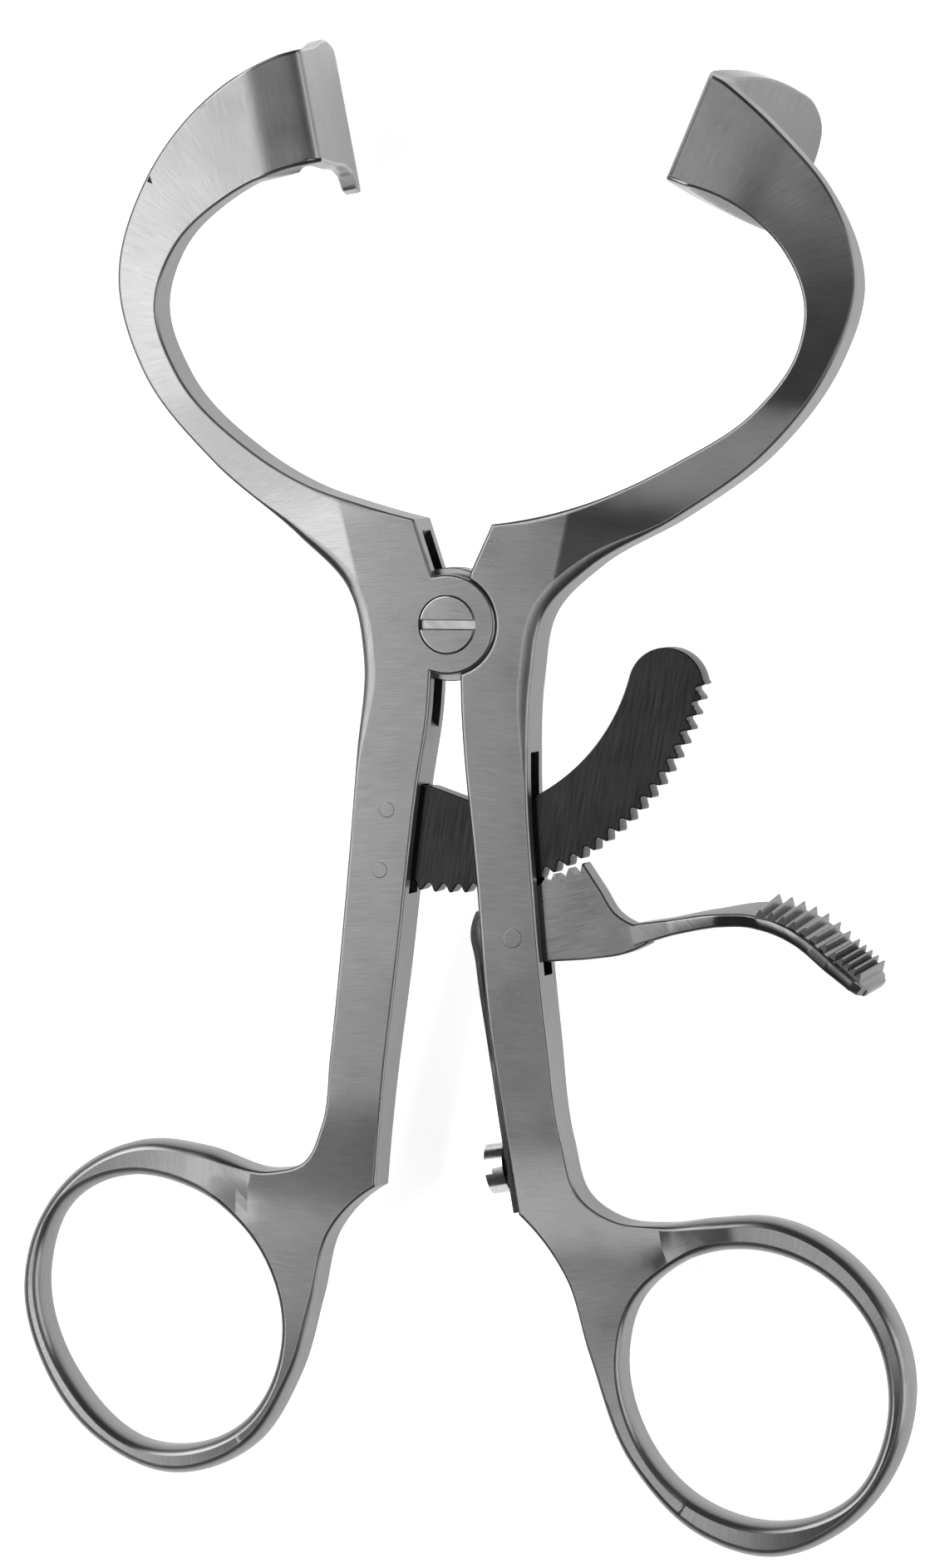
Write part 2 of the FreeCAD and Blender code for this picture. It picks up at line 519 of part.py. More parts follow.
def release_lever():
    """Pawl, plate and ribbed thumb piece in one."""
    nose = (LEVER_BACK[-1], polar(TOOTH_TIP_RADIUS + PAWL_CLEARANCE, PAWL_ANGLE), LEVER_TOP[0])
    outline = face_of(LEVER_TOP, LEVER_FOOT, LEVER_BACK, nose)
    plate = slab(outline, -LEVER_THICKNESS / 2, LEVER_THICKNESS / 2)
    line = Part.BSplineCurve()
    line.interpolate([flat(entry) for entry in LEVER_STRIP])
    sections = []
    for entry in LEVER_STRIP:
        centre = flat(entry)
        tangent = Vector(*line.tangent(line.parameter(centre))[0])
        sections.append(strip_section(centre, tangent, entry[2], entry[3], entry[4]))
    strip = Part.makeLoft(sections, True, False)
    lever = plate.fuse(strip)
    first = line.parameter(flat(LEVER_STRIP[3]))
    last = line.LastParameter
    ridges = []
    for index in range(RIDGE_COUNT):
        here = first + (last - first) * (index + RIDGE_START) / RIDGE_COUNT
        centre = line.value(here)
        tangent = Vector(*line.tangent(here)[0])
        turn = FreeCAD.Rotation(tangent, LEVER_STRIP[-1][4])
        over = turn.multVec(left_of(tangent))
        across = turn.multVec(FRONT_AXIS)
        foot = centre + over * (THUMB_STRIP / 2 - RIDGE_SINK) - across * (RIDGE_LENGTH / 2)
        corners = [foot - tangent * (RIDGE_BASE / 2), foot + tangent * (RIDGE_BASE / 2),
                   foot + over * (RIDGE_HEIGHT + RIDGE_SINK)]
        ridges.append(Part.Face(Part.makePolygon(corners + corners[:1])).extrude(across * RIDGE_LENGTH))
    lever = lever.fuse(ridges).removeSplitter()
    home = flat(LEVER_PIN_PLACE)
    for share in PAWL_PATH:
        clearance = PAWL_CLEARANCE if share == PAWL_PATH[0] else JOINT_CLEARANCE
        cutter = slab(toothed_sector(clearance), -REACH, REACH)
        cutter.rotate(home, FRONT_AXIS, -ENGAGE_ANGLE * share)
        lever = lever.cut(cutter)
    bore = round_bar(LEVER_PIN_PLACE, LEVER_PIN_DIAMETER / 2 + JOINT_CLEARANCE, -REACH, REACH)
    return lever.cut(bore)


def lever_pin():
    """Pin of the release lever, dressed flush with the shank."""
    return round_bar(LEVER_PIN_PLACE, LEVER_PIN_DIAMETER / 2, -HALF, HALF)


def leaf_spring():
    """Flat spring on the inner side of the right shank, bowed off it by the lever's tail."""
    line = Part.Wire(smooth_edges(SPRING_LINE))
    start = flat(SPRING_LINE[0])
    along = line.Edges[0].tangentAt(line.Edges[0].FirstParameter)
    thick = left_of(along) * (SPRING_THICKNESS / 2)
    wide = FRONT_AXIS * (SPRING_WIDTH / 2)
    section = Part.makePolygon([start + thick + wide, start - thick + wide, start - thick - wide,
                                start + thick - wide, start + thick + wide])
    spring = line.makePipeShell([section], True, False)
    return spring.cut(spring_screw_bar(SPRING_SCREW_BODY / 2 + SEAT_CLEARANCE, -1.0, 1.0))


def spring_screw_bar(radius, start, end):
    """A cylinder along the spring screw, from one distance off the shank's face to another."""
    outward = left_of((flat(RIGHT_SHANK_INNER[1]) - flat(RIGHT_SHANK_INNER[0])).normalize())
    low = flat(SPRING_SCREW_PLACE) + outward * min(start, end)
    return Part.makeCylinder(radius, abs(end - start), low, outward)


def spring_screw():
    """Cheese-head screw of the leaf spring."""
    outward = left_of((flat(RIGHT_SHANK_INNER[1]) - flat(RIGHT_SHANK_INNER[0])).normalize())
    seat = SPRING_THICKNESS
    head = spring_screw_bar(SPRING_SCREW_HEAD / 2, seat, seat + SPRING_SCREW_HEIGHT)
    body = spring_screw_bar(SPRING_SCREW_BODY / 2, seat, -SPRING_SCREW_DEPTH)
    slot = Part.makeBox(REACH, SPRING_SCREW_SLOT, SPRING_SCREW_HEAD * 2,
                        Vector(0, -SPRING_SCREW_SLOT / 2, -SPRING_SCREW_HEAD))
    bottom = flat(SPRING_SCREW_PLACE) + outward * (seat + SPRING_SCREW_HEIGHT - SPRING_SCREW_SLOT)
    along_screw = FreeCAD.Rotation(Vector(1, 0, 0), outward)
    slot.Placement = FreeCAD.Placement(bottom, along_screw).multiply(slot.Placement)
    return head.fuse(body).cut(slot).removeSplitter()


PIECES = {
    "left_arm": left_arm,
    "right_arm": right_arm,
    "pivot_screw": pivot_screw,
    "ratchet_rack": ratchet_rack,
    "rack_rivets": rack_rivets,
    "release_lever": release_lever,
    "lever_pin": lever_pin,
    "leaf_spring": leaf_spring,
    "spring_screw": spring_screw,
}


def lowest_point(shapes, turn, zone):
    """The lowest point of the turned pieces in a zone of the plane, in the unturned frame."""
    found = []
    for shape in shapes:
        for point in shape.tessellate(SUPPORT_TOLERANCE)[0]:
            if zone(point):
                found.append((turn.multVec(point).z, point.x, point.y, point.z))
    return Vector(*min(found)[1:])


def lying_placement(pieces):
    """The instrument on its back: both rings and one bite plate on the table, origin under its middle.

    The turn levels the plane through the lowest point of each ring and of the jaws, found again
    after each turn.
    """
    zones = (lambda point: point.y < RING_TAPER_END and point.x < 0,
             lambda point: point.y < RING_TAPER_END and point.x > 0,
             lambda point: point.y > 0)
    arms = [pieces["left_arm"], pieces["right_arm"]]
    turn = FreeCAD.Rotation()
    for _ in range(3):
        left, right, jaw = [lowest_point(arms, turn, zone) for zone in zones]
        normal = (right - left).cross(jaw - left).normalize()
        pitch = math.degrees(math.atan2(normal.y, normal.z))
        roll = -math.degrees(math.asin(normal.x))
        turn = FreeCAD.Rotation(Vector(0, 1, 0), roll).multiply(FreeCAD.Rotation(Vector(1, 0, 0), pitch))
    box = FreeCAD.BoundBox()
    for shape in pieces.values():
        turned = shape.copy()
        turned.Placement = FreeCAD.Placement(Vector(0, 0, 0), turn)
        box.add(turned.optimalBoundingBox(False))
    centre = box.Center
    return FreeCAD.Placement(Vector(-centre.x, -centre.y, -box.ZMin), turn)


made = {name: make() for name, make in PIECES.items()}
lying = lying_placement(made)
for name, shape in made.items():
    shape.Placement = lying
    shape.exportStep("parts/" + name + ".step")
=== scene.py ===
"""Looks of a ratchet mouth gag in satin surgical steel, lying on a white table.

Sections follow the instrument as it is put together. Lengths are in millimetres in the
instrument's own plane: X across, Y towards the jaws, Z towards the user, pivot axis on Z.
"""
import json
import math

import bpy
import numpy as np
from mathutils import Matrix, Vector
from mathutils.geometry import delaunay_2d_cdt


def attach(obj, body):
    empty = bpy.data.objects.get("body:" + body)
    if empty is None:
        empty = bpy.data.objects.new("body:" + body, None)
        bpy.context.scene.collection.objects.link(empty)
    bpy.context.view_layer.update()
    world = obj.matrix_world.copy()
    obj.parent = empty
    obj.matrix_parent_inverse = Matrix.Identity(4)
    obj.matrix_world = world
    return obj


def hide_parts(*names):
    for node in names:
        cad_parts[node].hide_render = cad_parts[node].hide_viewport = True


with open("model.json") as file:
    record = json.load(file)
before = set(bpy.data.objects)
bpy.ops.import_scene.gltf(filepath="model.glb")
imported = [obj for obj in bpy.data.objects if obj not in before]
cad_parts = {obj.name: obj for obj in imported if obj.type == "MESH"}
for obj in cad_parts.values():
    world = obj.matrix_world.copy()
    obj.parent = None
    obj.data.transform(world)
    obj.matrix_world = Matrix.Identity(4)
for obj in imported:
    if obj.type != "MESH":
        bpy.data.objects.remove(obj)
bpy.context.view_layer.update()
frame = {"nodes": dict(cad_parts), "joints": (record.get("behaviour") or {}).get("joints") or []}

# ---- The table and the light
# The instrument lies on its back on a smooth white table, under a large soft lamp on the left,
# a weaker one on the right and a pale room.
MM = 0.001
hinge = next(joint for joint in frame["joints"] if joint["name"] == "arms_hinge")
toward_user = Vector(hinge["axis"]).normalized()
across = Vector((toward_user.z, 0, -toward_user.x)).normalized()
to_jaws = toward_user.cross(across)
lying = Matrix.Translation(hinge["pos_m"]) @ Matrix((across, to_jaws, toward_user)).transposed().to_4x4()


def in_place(points):
    """Instrument millimetres to metres in the frame: turned by the lying pose, then moved to the pivot."""
    turn = np.array(lying.to_3x3())
    return np.asarray(points, float) * MM @ turn.T + np.array(lying.translation)


def linear(hex_colour):
    """sRGB hex colour to linear RGBA."""
    parts = np.array([int(hex_colour[i:i + 2], 16) for i in (1, 3, 5)]) / 255
    low = parts / 12.92
    high = ((parts + 0.055) / 1.055) ** 2.4
    return (*np.where(parts <= 0.04045, low, high), 1.0)


def add(tree, kind, sockets=(), **settings):
    """Adds one node; sockets holds (input, value or output to link) pairs."""
    made = tree.nodes.new(kind)
    for name, value in settings.items():
        setattr(made, name, value)
    for socket, value in dict(sockets).items():
        if isinstance(value, bpy.types.NodeSocket):
            tree.links.new(value, made.inputs[socket])
        else:
            made.inputs[socket].default_value = value
    return made


TABLE_SIDE = 3.0
bpy.ops.mesh.primitive_plane_add(size=TABLE_SIDE, location=(0, 0, -0.0002))
table = bpy.context.object
table.name = "white_table"
lacquer = bpy.data.materials.new("white_lacquered_table")
lacquer.use_nodes = True
lacquer_tree = lacquer.node_tree
lacquer_shader = lacquer_tree.nodes["Principled BSDF"]
lacquer_shader.inputs["Base Color"].default_value = linear("#F7F7F7")
lacquer_shader.inputs["Roughness"].default_value = 0.6
# The white of the background: seen by the camera and mirrored in the steel, but lighting nothing
rays = add(lacquer_tree, "ShaderNodeLightPath")
seen = add(lacquer_tree, "ShaderNodeMath", {0: rays.outputs["Is Camera Ray"], 1: rays.outputs["Is Glossy Ray"]},
           operation="ADD", use_clamp=True).outputs[0]
glow = add(lacquer_tree, "ShaderNodeMath", {0: seen, 1: 0.8}, operation="MULTIPLY").outputs[0]
lacquer_tree.links.new(glow, lacquer_shader.inputs["Emission Strength"])
lacquer_shader.inputs["Emission Color"].default_value = linear("#FFFFFF")
table.data.materials.append(lacquer)

CAMERA_DISTANCE = 900.0
CAMERA_YAW = math.radians(16.9)
CAMERA_PITCH = math.radians(3.1)
PIXELS_PER_MM = 11.4
IMAGE = (1125.0, 1886.0)
PIVOT_PIXEL = (537.4, 751.5)      # where the pivot screw's head is seen
eye_dir = Vector((math.sin(CAMERA_YAW) * math.cos(CAMERA_PITCH), math.sin(CAMERA_PITCH),
                  math.cos(CAMERA_YAW) * math.cos(CAMERA_PITCH)))
eye_right = Vector((math.cos(CAMERA_YAW), 0, -math.sin(CAMERA_YAW)))
eye_up = eye_dir.cross(eye_right)
head = Vector((0, 0, 3.0))
depth = CAMERA_DISTANCE - 3.0 * eye_dir.z
target = (head - eye_right * ((PIVOT_PIXEL[0] - IMAGE[0] / 2) * depth / (PIXELS_PER_MM * CAMERA_DISTANCE))
          + eye_up * ((PIVOT_PIXEL[1] - IMAGE[1] / 2) * depth / (PIXELS_PER_MM * CAMERA_DISTANCE)))
target -= eye_dir * target.dot(eye_dir)
camera_data = bpy.data.cameras.new("camera")
camera_data.sensor_fit = "VERTICAL"
camera_data.sensor_height = 36.0
camera_data.lens = 36.0 * PIXELS_PER_MM * CAMERA_DISTANCE / IMAGE[1]
camera_data.clip_end = 10.0
camera = bpy.data.objects.new("camera", camera_data)
bpy.context.collection.objects.link(camera)
eye = (target + eye_dir * CAMERA_DISTANCE) * MM
camera.matrix_world = lying @ Matrix.Translation(eye) @ Matrix((eye_right, eye_up, eye_dir)).transposed().to_4x4()
bpy.context.scene.camera = camera
bpy.context.scene.view_settings.view_transform = "Standard"


def soft_lamp(name, side_angle, jaw_angle, distance, width, length, radiance):
    """A rectangular softbox that faces the instrument, placed by its angles from upright towards X and Y.

    Its power is radiance times pi times its area.
    """
    way = Vector((math.tan(math.radians(side_angle)), math.tan(math.radians(jaw_angle)), 1)).normalized()
    data = bpy.data.lights.new(name, "AREA")
    data.shape = "RECTANGLE"
    data.size, data.size_y = width, length
    data.energy = radiance * math.pi * width * length
    lamp = bpy.data.objects.new(name, data)
    wide = Vector((0, 1, 0)).cross(way).normalized()
    turned = Matrix((wide, way.cross(wide), way)).transposed().to_4x4()
    lamp.matrix_world = lying @ Matrix.Translation(way * distance) @ turned
    bpy.context.collection.objects.link(lamp)


soft_lamp("left_softbox", -30.5, 15.0, 1.4, 0.6, 1.3, 4.4)
soft_lamp("right_softbox", 64.0, -5.0, 1.4, 0.8, 1.2, 2.6)
# The room: a pale ceiling over darker walls, so that rounded edges draw dark lines
world = bpy.data.worlds.new("studio_room")
bpy.context.scene.world = world
world.use_nodes = True
upward = add(world.node_tree, "ShaderNodeSeparateXYZ",
             {"Vector": add(world.node_tree, "ShaderNodeTexCoord").outputs["Generated"]}).outputs["Z"]
room = add(world.node_tree, "ShaderNodeMapRange", {"Value": upward, "From Min": 0.5, "From Max": 0.97,
                                                   "To Min": 0.08, "To Max": 0.12}, interpolation_type="SMOOTHSTEP")
world.node_tree.nodes["Background"].inputs["Color"].default_value = linear("#FAFBFC")
world.node_tree.links.new(room.outputs["Result"], world.node_tree.nodes["Background"].inputs["Strength"])


def satin_steel(name, tones, roughness, grain_width, grain_map=None, grain_turn=0.0):
    """Stainless steel, belt-ground to a satin: fine straight scratches over a cloudy polish.

    tones are the steel's colour in the scratches and between them. The scratches are a noise 30 times
    longer than wide; real ones are 0.02 to 0.05 mm wide and are drawn coarser, so that they show.
    """
    steel = bpy.data.materials.new(name)
    steel.use_nodes = True
    tree = steel.node_tree
    shader = tree.nodes["Principled BSDF"]
    shader.inputs["Metallic"].default_value = 1.0
    shader.inputs["Anisotropic"].default_value = 0.85
    place = add(tree, "ShaderNodeTexCoord").outputs["Object"]
    if grain_map:
        surface = add(tree, "ShaderNodeUVMap", uv_map=grain_map).outputs["UV"]
        per_mm = 1.0
        tangent = add(tree, "ShaderNodeTangent", direction_type="UV_MAP", uv_map=grain_map).outputs["Tangent"]
        tree.links.new(tangent, shader.inputs["Tangent"])
    else:
        surface = add(tree, "ShaderNodeMapping", {"Vector": place,
                                                  "Rotation": (0, 0, math.radians(grain_turn))}).outputs["Vector"]
        per_mm = 1000.0
    fine = add(tree, "ShaderNodeMapping", {"Vector": surface, "Scale": (
        per_mm / grain_width, per_mm / grain_width / 30, per_mm / grain_width)}).outputs["Vector"]
    scratches = add(tree, "ShaderNodeTexNoise", {"Vector": fine, "Scale": 1.0, "Detail": 4.0,
                                                 "Roughness": 0.75}).outputs["Fac"]
    clouds = add(tree, "ShaderNodeTexNoise", {"Vector": place, "Scale": 160.0, "Detail": 5.0}).outputs["Fac"]
    both = add(tree, "ShaderNodeMix", {0: 0.2, 2: scratches, 3: clouds}).outputs[0]
    spread = add(tree, "ShaderNodeMapRange", {"Value": both, "From Min": 0.36, "From Max": 0.64}).outputs["Result"]
    colour = add(tree, "ShaderNodeMix", {0: spread, 6: linear(tones[0]), 7: linear(tones[1])}, data_type="RGBA")
    tree.links.new(colour.outputs[2], shader.inputs["Base Color"])
    rough = add(tree, "ShaderNodeMapRange", {"Value": clouds, "To Min": roughness - 0.06,
                                             "To Max": roughness + 0.06}).outputs["Result"]
    tree.links.new(rough, shader.inputs["Roughness"])
    bump = add(tree, "ShaderNodeBump", {"Height": scratches, "Strength": 0.15, "Distance": 0.00001})
    tree.links.new(bump.outputs["Normal"], shader.inputs["Normal"])
    return steel

# ---- The two forged arms
# Each arm is one stainless forging: finger ring, shank, joint block, bowed jaw and the plate bent back
# at its end. All edges are broken by hand on a belt; the rings are rounded until they feel smooth.
THICK = 6.0                  # block and shank, front to back
RING_THICK = 4.8
RING_TAPER = (-62.0, -34.0)  # heights between which the shank thins down to the ring
EDGE_ROUND = 0.3
NECK_ROUND = (1.3, 0.45)     # wider rounding outside the joint
RING_ROUND = (0.95, 1.9)     # rounding of the rings' edges: across the bar, and front to back
FRONT_LEAN = math.tan(math.radians(3.0))
STRIP_THICK = 3.2            # bowed part where it turns into the plate
PLATE_THICK = 1.85
PLATE_DEPTH = 27.5
HOLLOW_ROUND = 0.9           # inner radius of the bend
BACK_RISE = 28.0             # height where the back of the bowed part starts to rise
JAW_REACH = 8.0              # how far below the bend a plan point may be and still belong to the plate
ROUND_STEPS = 5
STEEL_EDGE = 0.4             # mm between points along an outline


def fair_curve(points, closed=False, steps=12):
    """Smooth plane curve through points: cubic pieces whose ends lean as the circle through three points.

    For a piece from p to q with leans t and s and chord c, the point at k is the Hermite blend
    (2k^3-3k^2+1)p + (k^3-2k^2+k)ct + (3k^2-2k^3)q + (k^3-k^2)cs.
    """
    p = np.asarray(points, float)
    if len(p) == 2:
        return p
    before, after = np.roll(p, 1, 0), np.roll(p, -1, 0)
    into, out = p - before, after - p
    lean = into * (out ** 2).sum(1)[:, None] + out * (into ** 2).sum(1)[:, None]
    lean /= np.linalg.norm(lean, axis=1)[:, None]
    if not closed:
        for end, near in ((0, 1), (-1, -2)):
            chord = (p[near] - p[end]) / np.linalg.norm(p[near] - p[end])
            lean[end] = 2 * chord * (chord @ lean[near]) - lean[near]
    last = len(p) if closed else len(p) - 1
    start, finish = p[:last], after[:last]
    t, s = lean[:last], np.roll(lean, -1, 0)[:last]
    chord = np.linalg.norm(finish - start, axis=1)[:, None, None]
    k = (np.arange(steps) / steps)[None, :, None]
    curve = ((2 * k ** 3 - 3 * k ** 2 + 1) * start[:, None] + (k ** 3 - 2 * k ** 2 + k) * chord * t[:, None]
             + (3 * k ** 2 - 2 * k ** 3) * finish[:, None] + (k ** 3 - k ** 2) * chord * s[:, None])
    curve = curve.reshape(-1, 2)
    return curve if closed else np.vstack([curve, p[-1:]])


def even_steps(curve, step):
    """The same open curve with points about one step apart along it."""
    length = np.concatenate([[0], np.cumsum(np.linalg.norm(np.diff(curve, axis=0), axis=1))])
    at = np.linspace(0, length[-1], max(2, int(round(length[-1] / step)) + 1))
    return np.stack([np.interp(at, length, curve[:, 0]), np.interp(at, length, curve[:, 1])], 1)


def arc_about(centre, radius, start, end):
    """Arc about a point between two angles in degrees."""
    turn = np.radians(np.linspace(start, end, 60))
    return np.asarray(centre) + radius * np.column_stack([np.cos(turn), np.sin(turn)])


def closed_loop(runs, step=STEEL_EDGE):
    """One counter-clockwise loop of even steps from runs that meet end to end."""
    loop = np.vstack([even_steps(np.asarray(run, float), step)[:-1] for run in runs])
    gap = np.linalg.norm(loop - np.roll(loop, 1, 0), axis=1)
    loop = loop[gap > step / 20]
    area = np.sum(loop[:, 0] * np.roll(loop[:, 1], -1) - loop[:, 1] * np.roll(loop[:, 0], -1))
    return loop if area > 0 else loop[::-1]


def left_normals(loop):
    """Normals to the left of a closed loop, lengthened at corners so that both sides keep their offset."""
    into = loop - np.roll(loop, 1, 0)
    out = np.roll(loop, -1, 0) - loop
    into = into / np.linalg.norm(into, axis=1)[:, None]
    out = out / np.linalg.norm(out, axis=1)[:, None]
    both = into + out
    size = np.linalg.norm(both, axis=1)[:, None]
    return np.column_stack([-both[:, 1], both[:, 0]]) / size / np.maximum(size / 2, 0.6)


def is_inside(points, loop):
    """Whether points lie inside a loop: a ray along X from them crosses an odd number of its edges."""
    x, y = points[:, :1], points[:, 1:]
    a, b = loop[None], np.roll(loop, -1, 0)[None]
    crosses = (a[..., 1] > y) != (b[..., 1] > y)
    rise = np.where(crosses, b[..., 1] - a[..., 1], 1.0)
    reach = a[..., 0] + (b[..., 0] - a[..., 0]) * (y - a[..., 1]) / rise
    return ((crosses & (x < reach)).sum(1) % 2).astype(bool)


def clear_of(points, loops, gap):
    """Whether points are inside the first loop, outside the others, and further than a gap from them all."""
    kept = is_inside(points, loops[0])
    for hole in loops[1:]:
        kept &= ~is_inside(points, hole)
    for loop in loops:
        kept &= np.sqrt(((points[:, None] - loop[None]) ** 2).sum(2)).min(1) > gap
    return kept


def smooth_share(x, low, high):
    """0 below low, 1 above high, and 3k^2-2k^3 between them."""
    k = np.clip((x - low) / (high - low), 0, 1)
    return k * k * (3 - 2 * k)


def rounded_wall(loop, rounds, back, front):
    """Side wall of a forging along its plan loop, with rounded edges, as rows from back flat to front flat.

    A row at angle f from the flat is inset by a(1-cos f) and lies b(1-sin f) inside the back or front
    face; the outermost row on each side lies on the flat itself, a little further in.
    """
    normal = left_normals(loop)
    turns = np.linspace(math.pi / 2, 0, ROUND_STEPS + 1)
    inset = np.concatenate([[1.0], 1 - np.cos(turns)])
    sink = np.concatenate([[0.0], 1 - np.sin(turns)])
    extra = np.concatenate([[0.06], np.zeros(len(turns))])
    plan = loop[None] + normal[None] * (inset[:, None] * rounds[:, 0] + extra[:, None])[..., None]
    low = np.dstack([plan, back(plan) + sink[:, None] * rounds[:, 1]])
    high = np.dstack([plan, front(plan) - sink[:, None] * rounds[:, 1]])[::-1]
    return np.concatenate([low, high])


def grid_faces(rows, columns, start, closed=True):
    """Quads of a grid of rows x columns vertices, joined round where it is closed."""
    row, column = np.meshgrid(np.arange(rows - 1), np.arange(columns if closed else columns - 1), indexing="ij")
    beside = (column + 1) % columns
    quads = np.stack([row * columns + column, row * columns + beside,
                      (row + 1) * columns + beside, (row + 1) * columns + column], -1)
    return start + quads.reshape(-1, 4)


def fill_flat(loops, creases, spacing):
    """Net over the flat between loops: their points, crease lines and a grid, joined by Delaunay's rule.

    Returns the points, the loops' own first and in their order, and the triangles.
    """
    rim = np.vstack(loops)
    low, high = rim.min(0), rim.max(0)
    grid = np.stack(np.meshgrid(np.arange(low[0], high[0], spacing), np.arange(low[1], high[1], spacing)), -1)
    grid = grid.reshape(-1, 2)
    edges = []
    first = 0
    for loop in loops:
        ring = np.arange(first, first + len(loop))
        edges += np.column_stack([ring, np.roll(ring, -1)]).tolist()
        first += len(loop)
    added = [rim]
    for crease in creases:
        crease = crease[clear_of(crease, loops, 0.1)]
        run = np.arange(first, first + len(crease))
        edges += np.column_stack([run[:-1], run[1:]]).tolist()
        first += len(crease)
        added.append(crease)
        grid = grid[np.sqrt(((grid[:, None] - crease[None]) ** 2).sum(2)).min(1) > spacing / 2]
    added.append(grid[clear_of(grid, loops, spacing / 2)])
    points = np.vstack(added)
    net = delaunay_2d_cdt([Vector(p) for p in points], edges, [], 0, 1e-6)
    number = np.array([min(each) if each else -1 for each in net[3]])
    crossings = np.flatnonzero(number < 0)
    number[crossings] = len(points) + np.arange(len(crossings))
    points = np.vstack([points] + [np.array(net[0][i])[None] for i in crossings])
    faces = number[np.array(net[2])]
    middle = points[faces].mean(1)
    kept = is_inside(middle, loops[0])
    for hole in loops[1:]:
        kept &= ~is_inside(middle, hole)
    return points, faces[kept]


def solid_plate(loops, rounds, back, front, creases=(), spacing=1.3):
    """Closed solid between two faces over a plan: rounded walls along its loops and a net over each flat.

    Holes run clockwise. Returns vertices in the plan's own frame, faces, and for each face whether it is wall.
    """
    vertices, faces, first, starts = [], [], 0, []
    for loop, rounding in zip(loops, rounds):
        wall = rounded_wall(loop, rounding, back, front)
        vertices.append(wall.reshape(-1, 3))
        faces.append(grid_faces(len(wall), len(loop), first))
        starts.append((first, first + (len(wall) - 1) * len(loop), len(loop)))
        first += wall.shape[0] * wall.shape[1]
    walls = sum(len(each) for each in faces)
    for side, height in ((0, back), (1, front)):
        rims = [np.vstack(vertices)[start[side]:start[side] + start[2], :2] for start in starts]
        points, net = fill_flat(rims, creases, spacing)
        own = sum(len(rim) for rim in rims)
        place = np.concatenate([np.arange(start[side], start[side] + start[2]) for start in starts]
                               + [first + np.arange(len(points) - own)])
        p = points[net]
        turned = np.cross(p[:, 1] - p[:, 0], p[:, 2] - p[:, 0]) < 0
        net = np.where((turned == bool(side))[:, None], net[:, ::-1], net)
        faces.append(place[net])
        vertices.append(np.column_stack([points[own:], height(points[own:])]))
        first += len(points) - own
    quads = np.vstack([each for each in faces if each.shape[1] == 4])
    nets = np.vstack([each for each in faces if each.shape[1] == 3])
    return np.vstack(vertices), quads.tolist() + nets.tolist(), np.arange(len(quads) + len(nets)) < walls


def bent_line(along, down, far, length, ease, early=0.0, crease=1.0):
    """A line, a bend of the given length and a second line that ends at far, in the plane of a bend.

    A share early of the turn comes within the share crease of its length, and the rest goes as the
    share of the length to the power ease: 1 is an arc, more tightens towards the second line.
    """
    inner = down - along * (along @ down)
    inner /= np.linalg.norm(inner)
    turn = math.acos(along @ down)
    share = (np.arange(200) + 0.5) / 200
    lean = turn * (early * smooth_share(share, 0, crease) + (1 - early) * share ** ease)
    way = np.cos(lean)[:, None] * along + np.sin(lean)[:, None] * inner
    bow = np.vstack([[0, 0], np.cumsum(way, 0)]) * length / 200
    return {"bow": bow, "along": along, "down": down, "far": far}


def set_on(line, start):
    """Places the bend so that it leaves a line through start and ends on the line to far."""
    both = np.column_stack([line["along"], line["down"]])
    corner = start + line["along"] * np.linalg.solve(both, line["far"] - start)[0]
    before, _ = np.linalg.solve(both, line["bow"][-1])
    line["bow"] = line["bow"] + corner - line["along"] * before
    return line


def on_bent_line(line, k):
    """Points at k: 0 to 1 along the first line, 1 to 2 round the bend, 2 to 3 along the second line."""
    at = np.clip(k - 1, 0, 1) * (len(line["bow"]) - 1)
    bow = np.stack([np.interp(at, np.arange(len(line["bow"])), line["bow"][:, i]) for i in (0, 1)], -1)
    return (bow + (1 - np.clip(k, 0, 1))[..., None] * (line["start"] - line["bow"][0])
            + np.clip(k - 2, 0, 1)[..., None] * (line["far"] - line["bow"][-1]))


def line_stations(line):
    """Path lengths at which k is 0, 1, 2 and 3."""
    ends = on_bent_line(line, np.arange(4.0))
    bow = np.linalg.norm(np.diff(line["bow"], axis=0), axis=1).sum()
    steps = (np.linalg.norm(ends[1] - ends[0]), bow, np.linalg.norm(ends[3] - ends[2]))
    return np.concatenate([[0], np.cumsum(steps)])


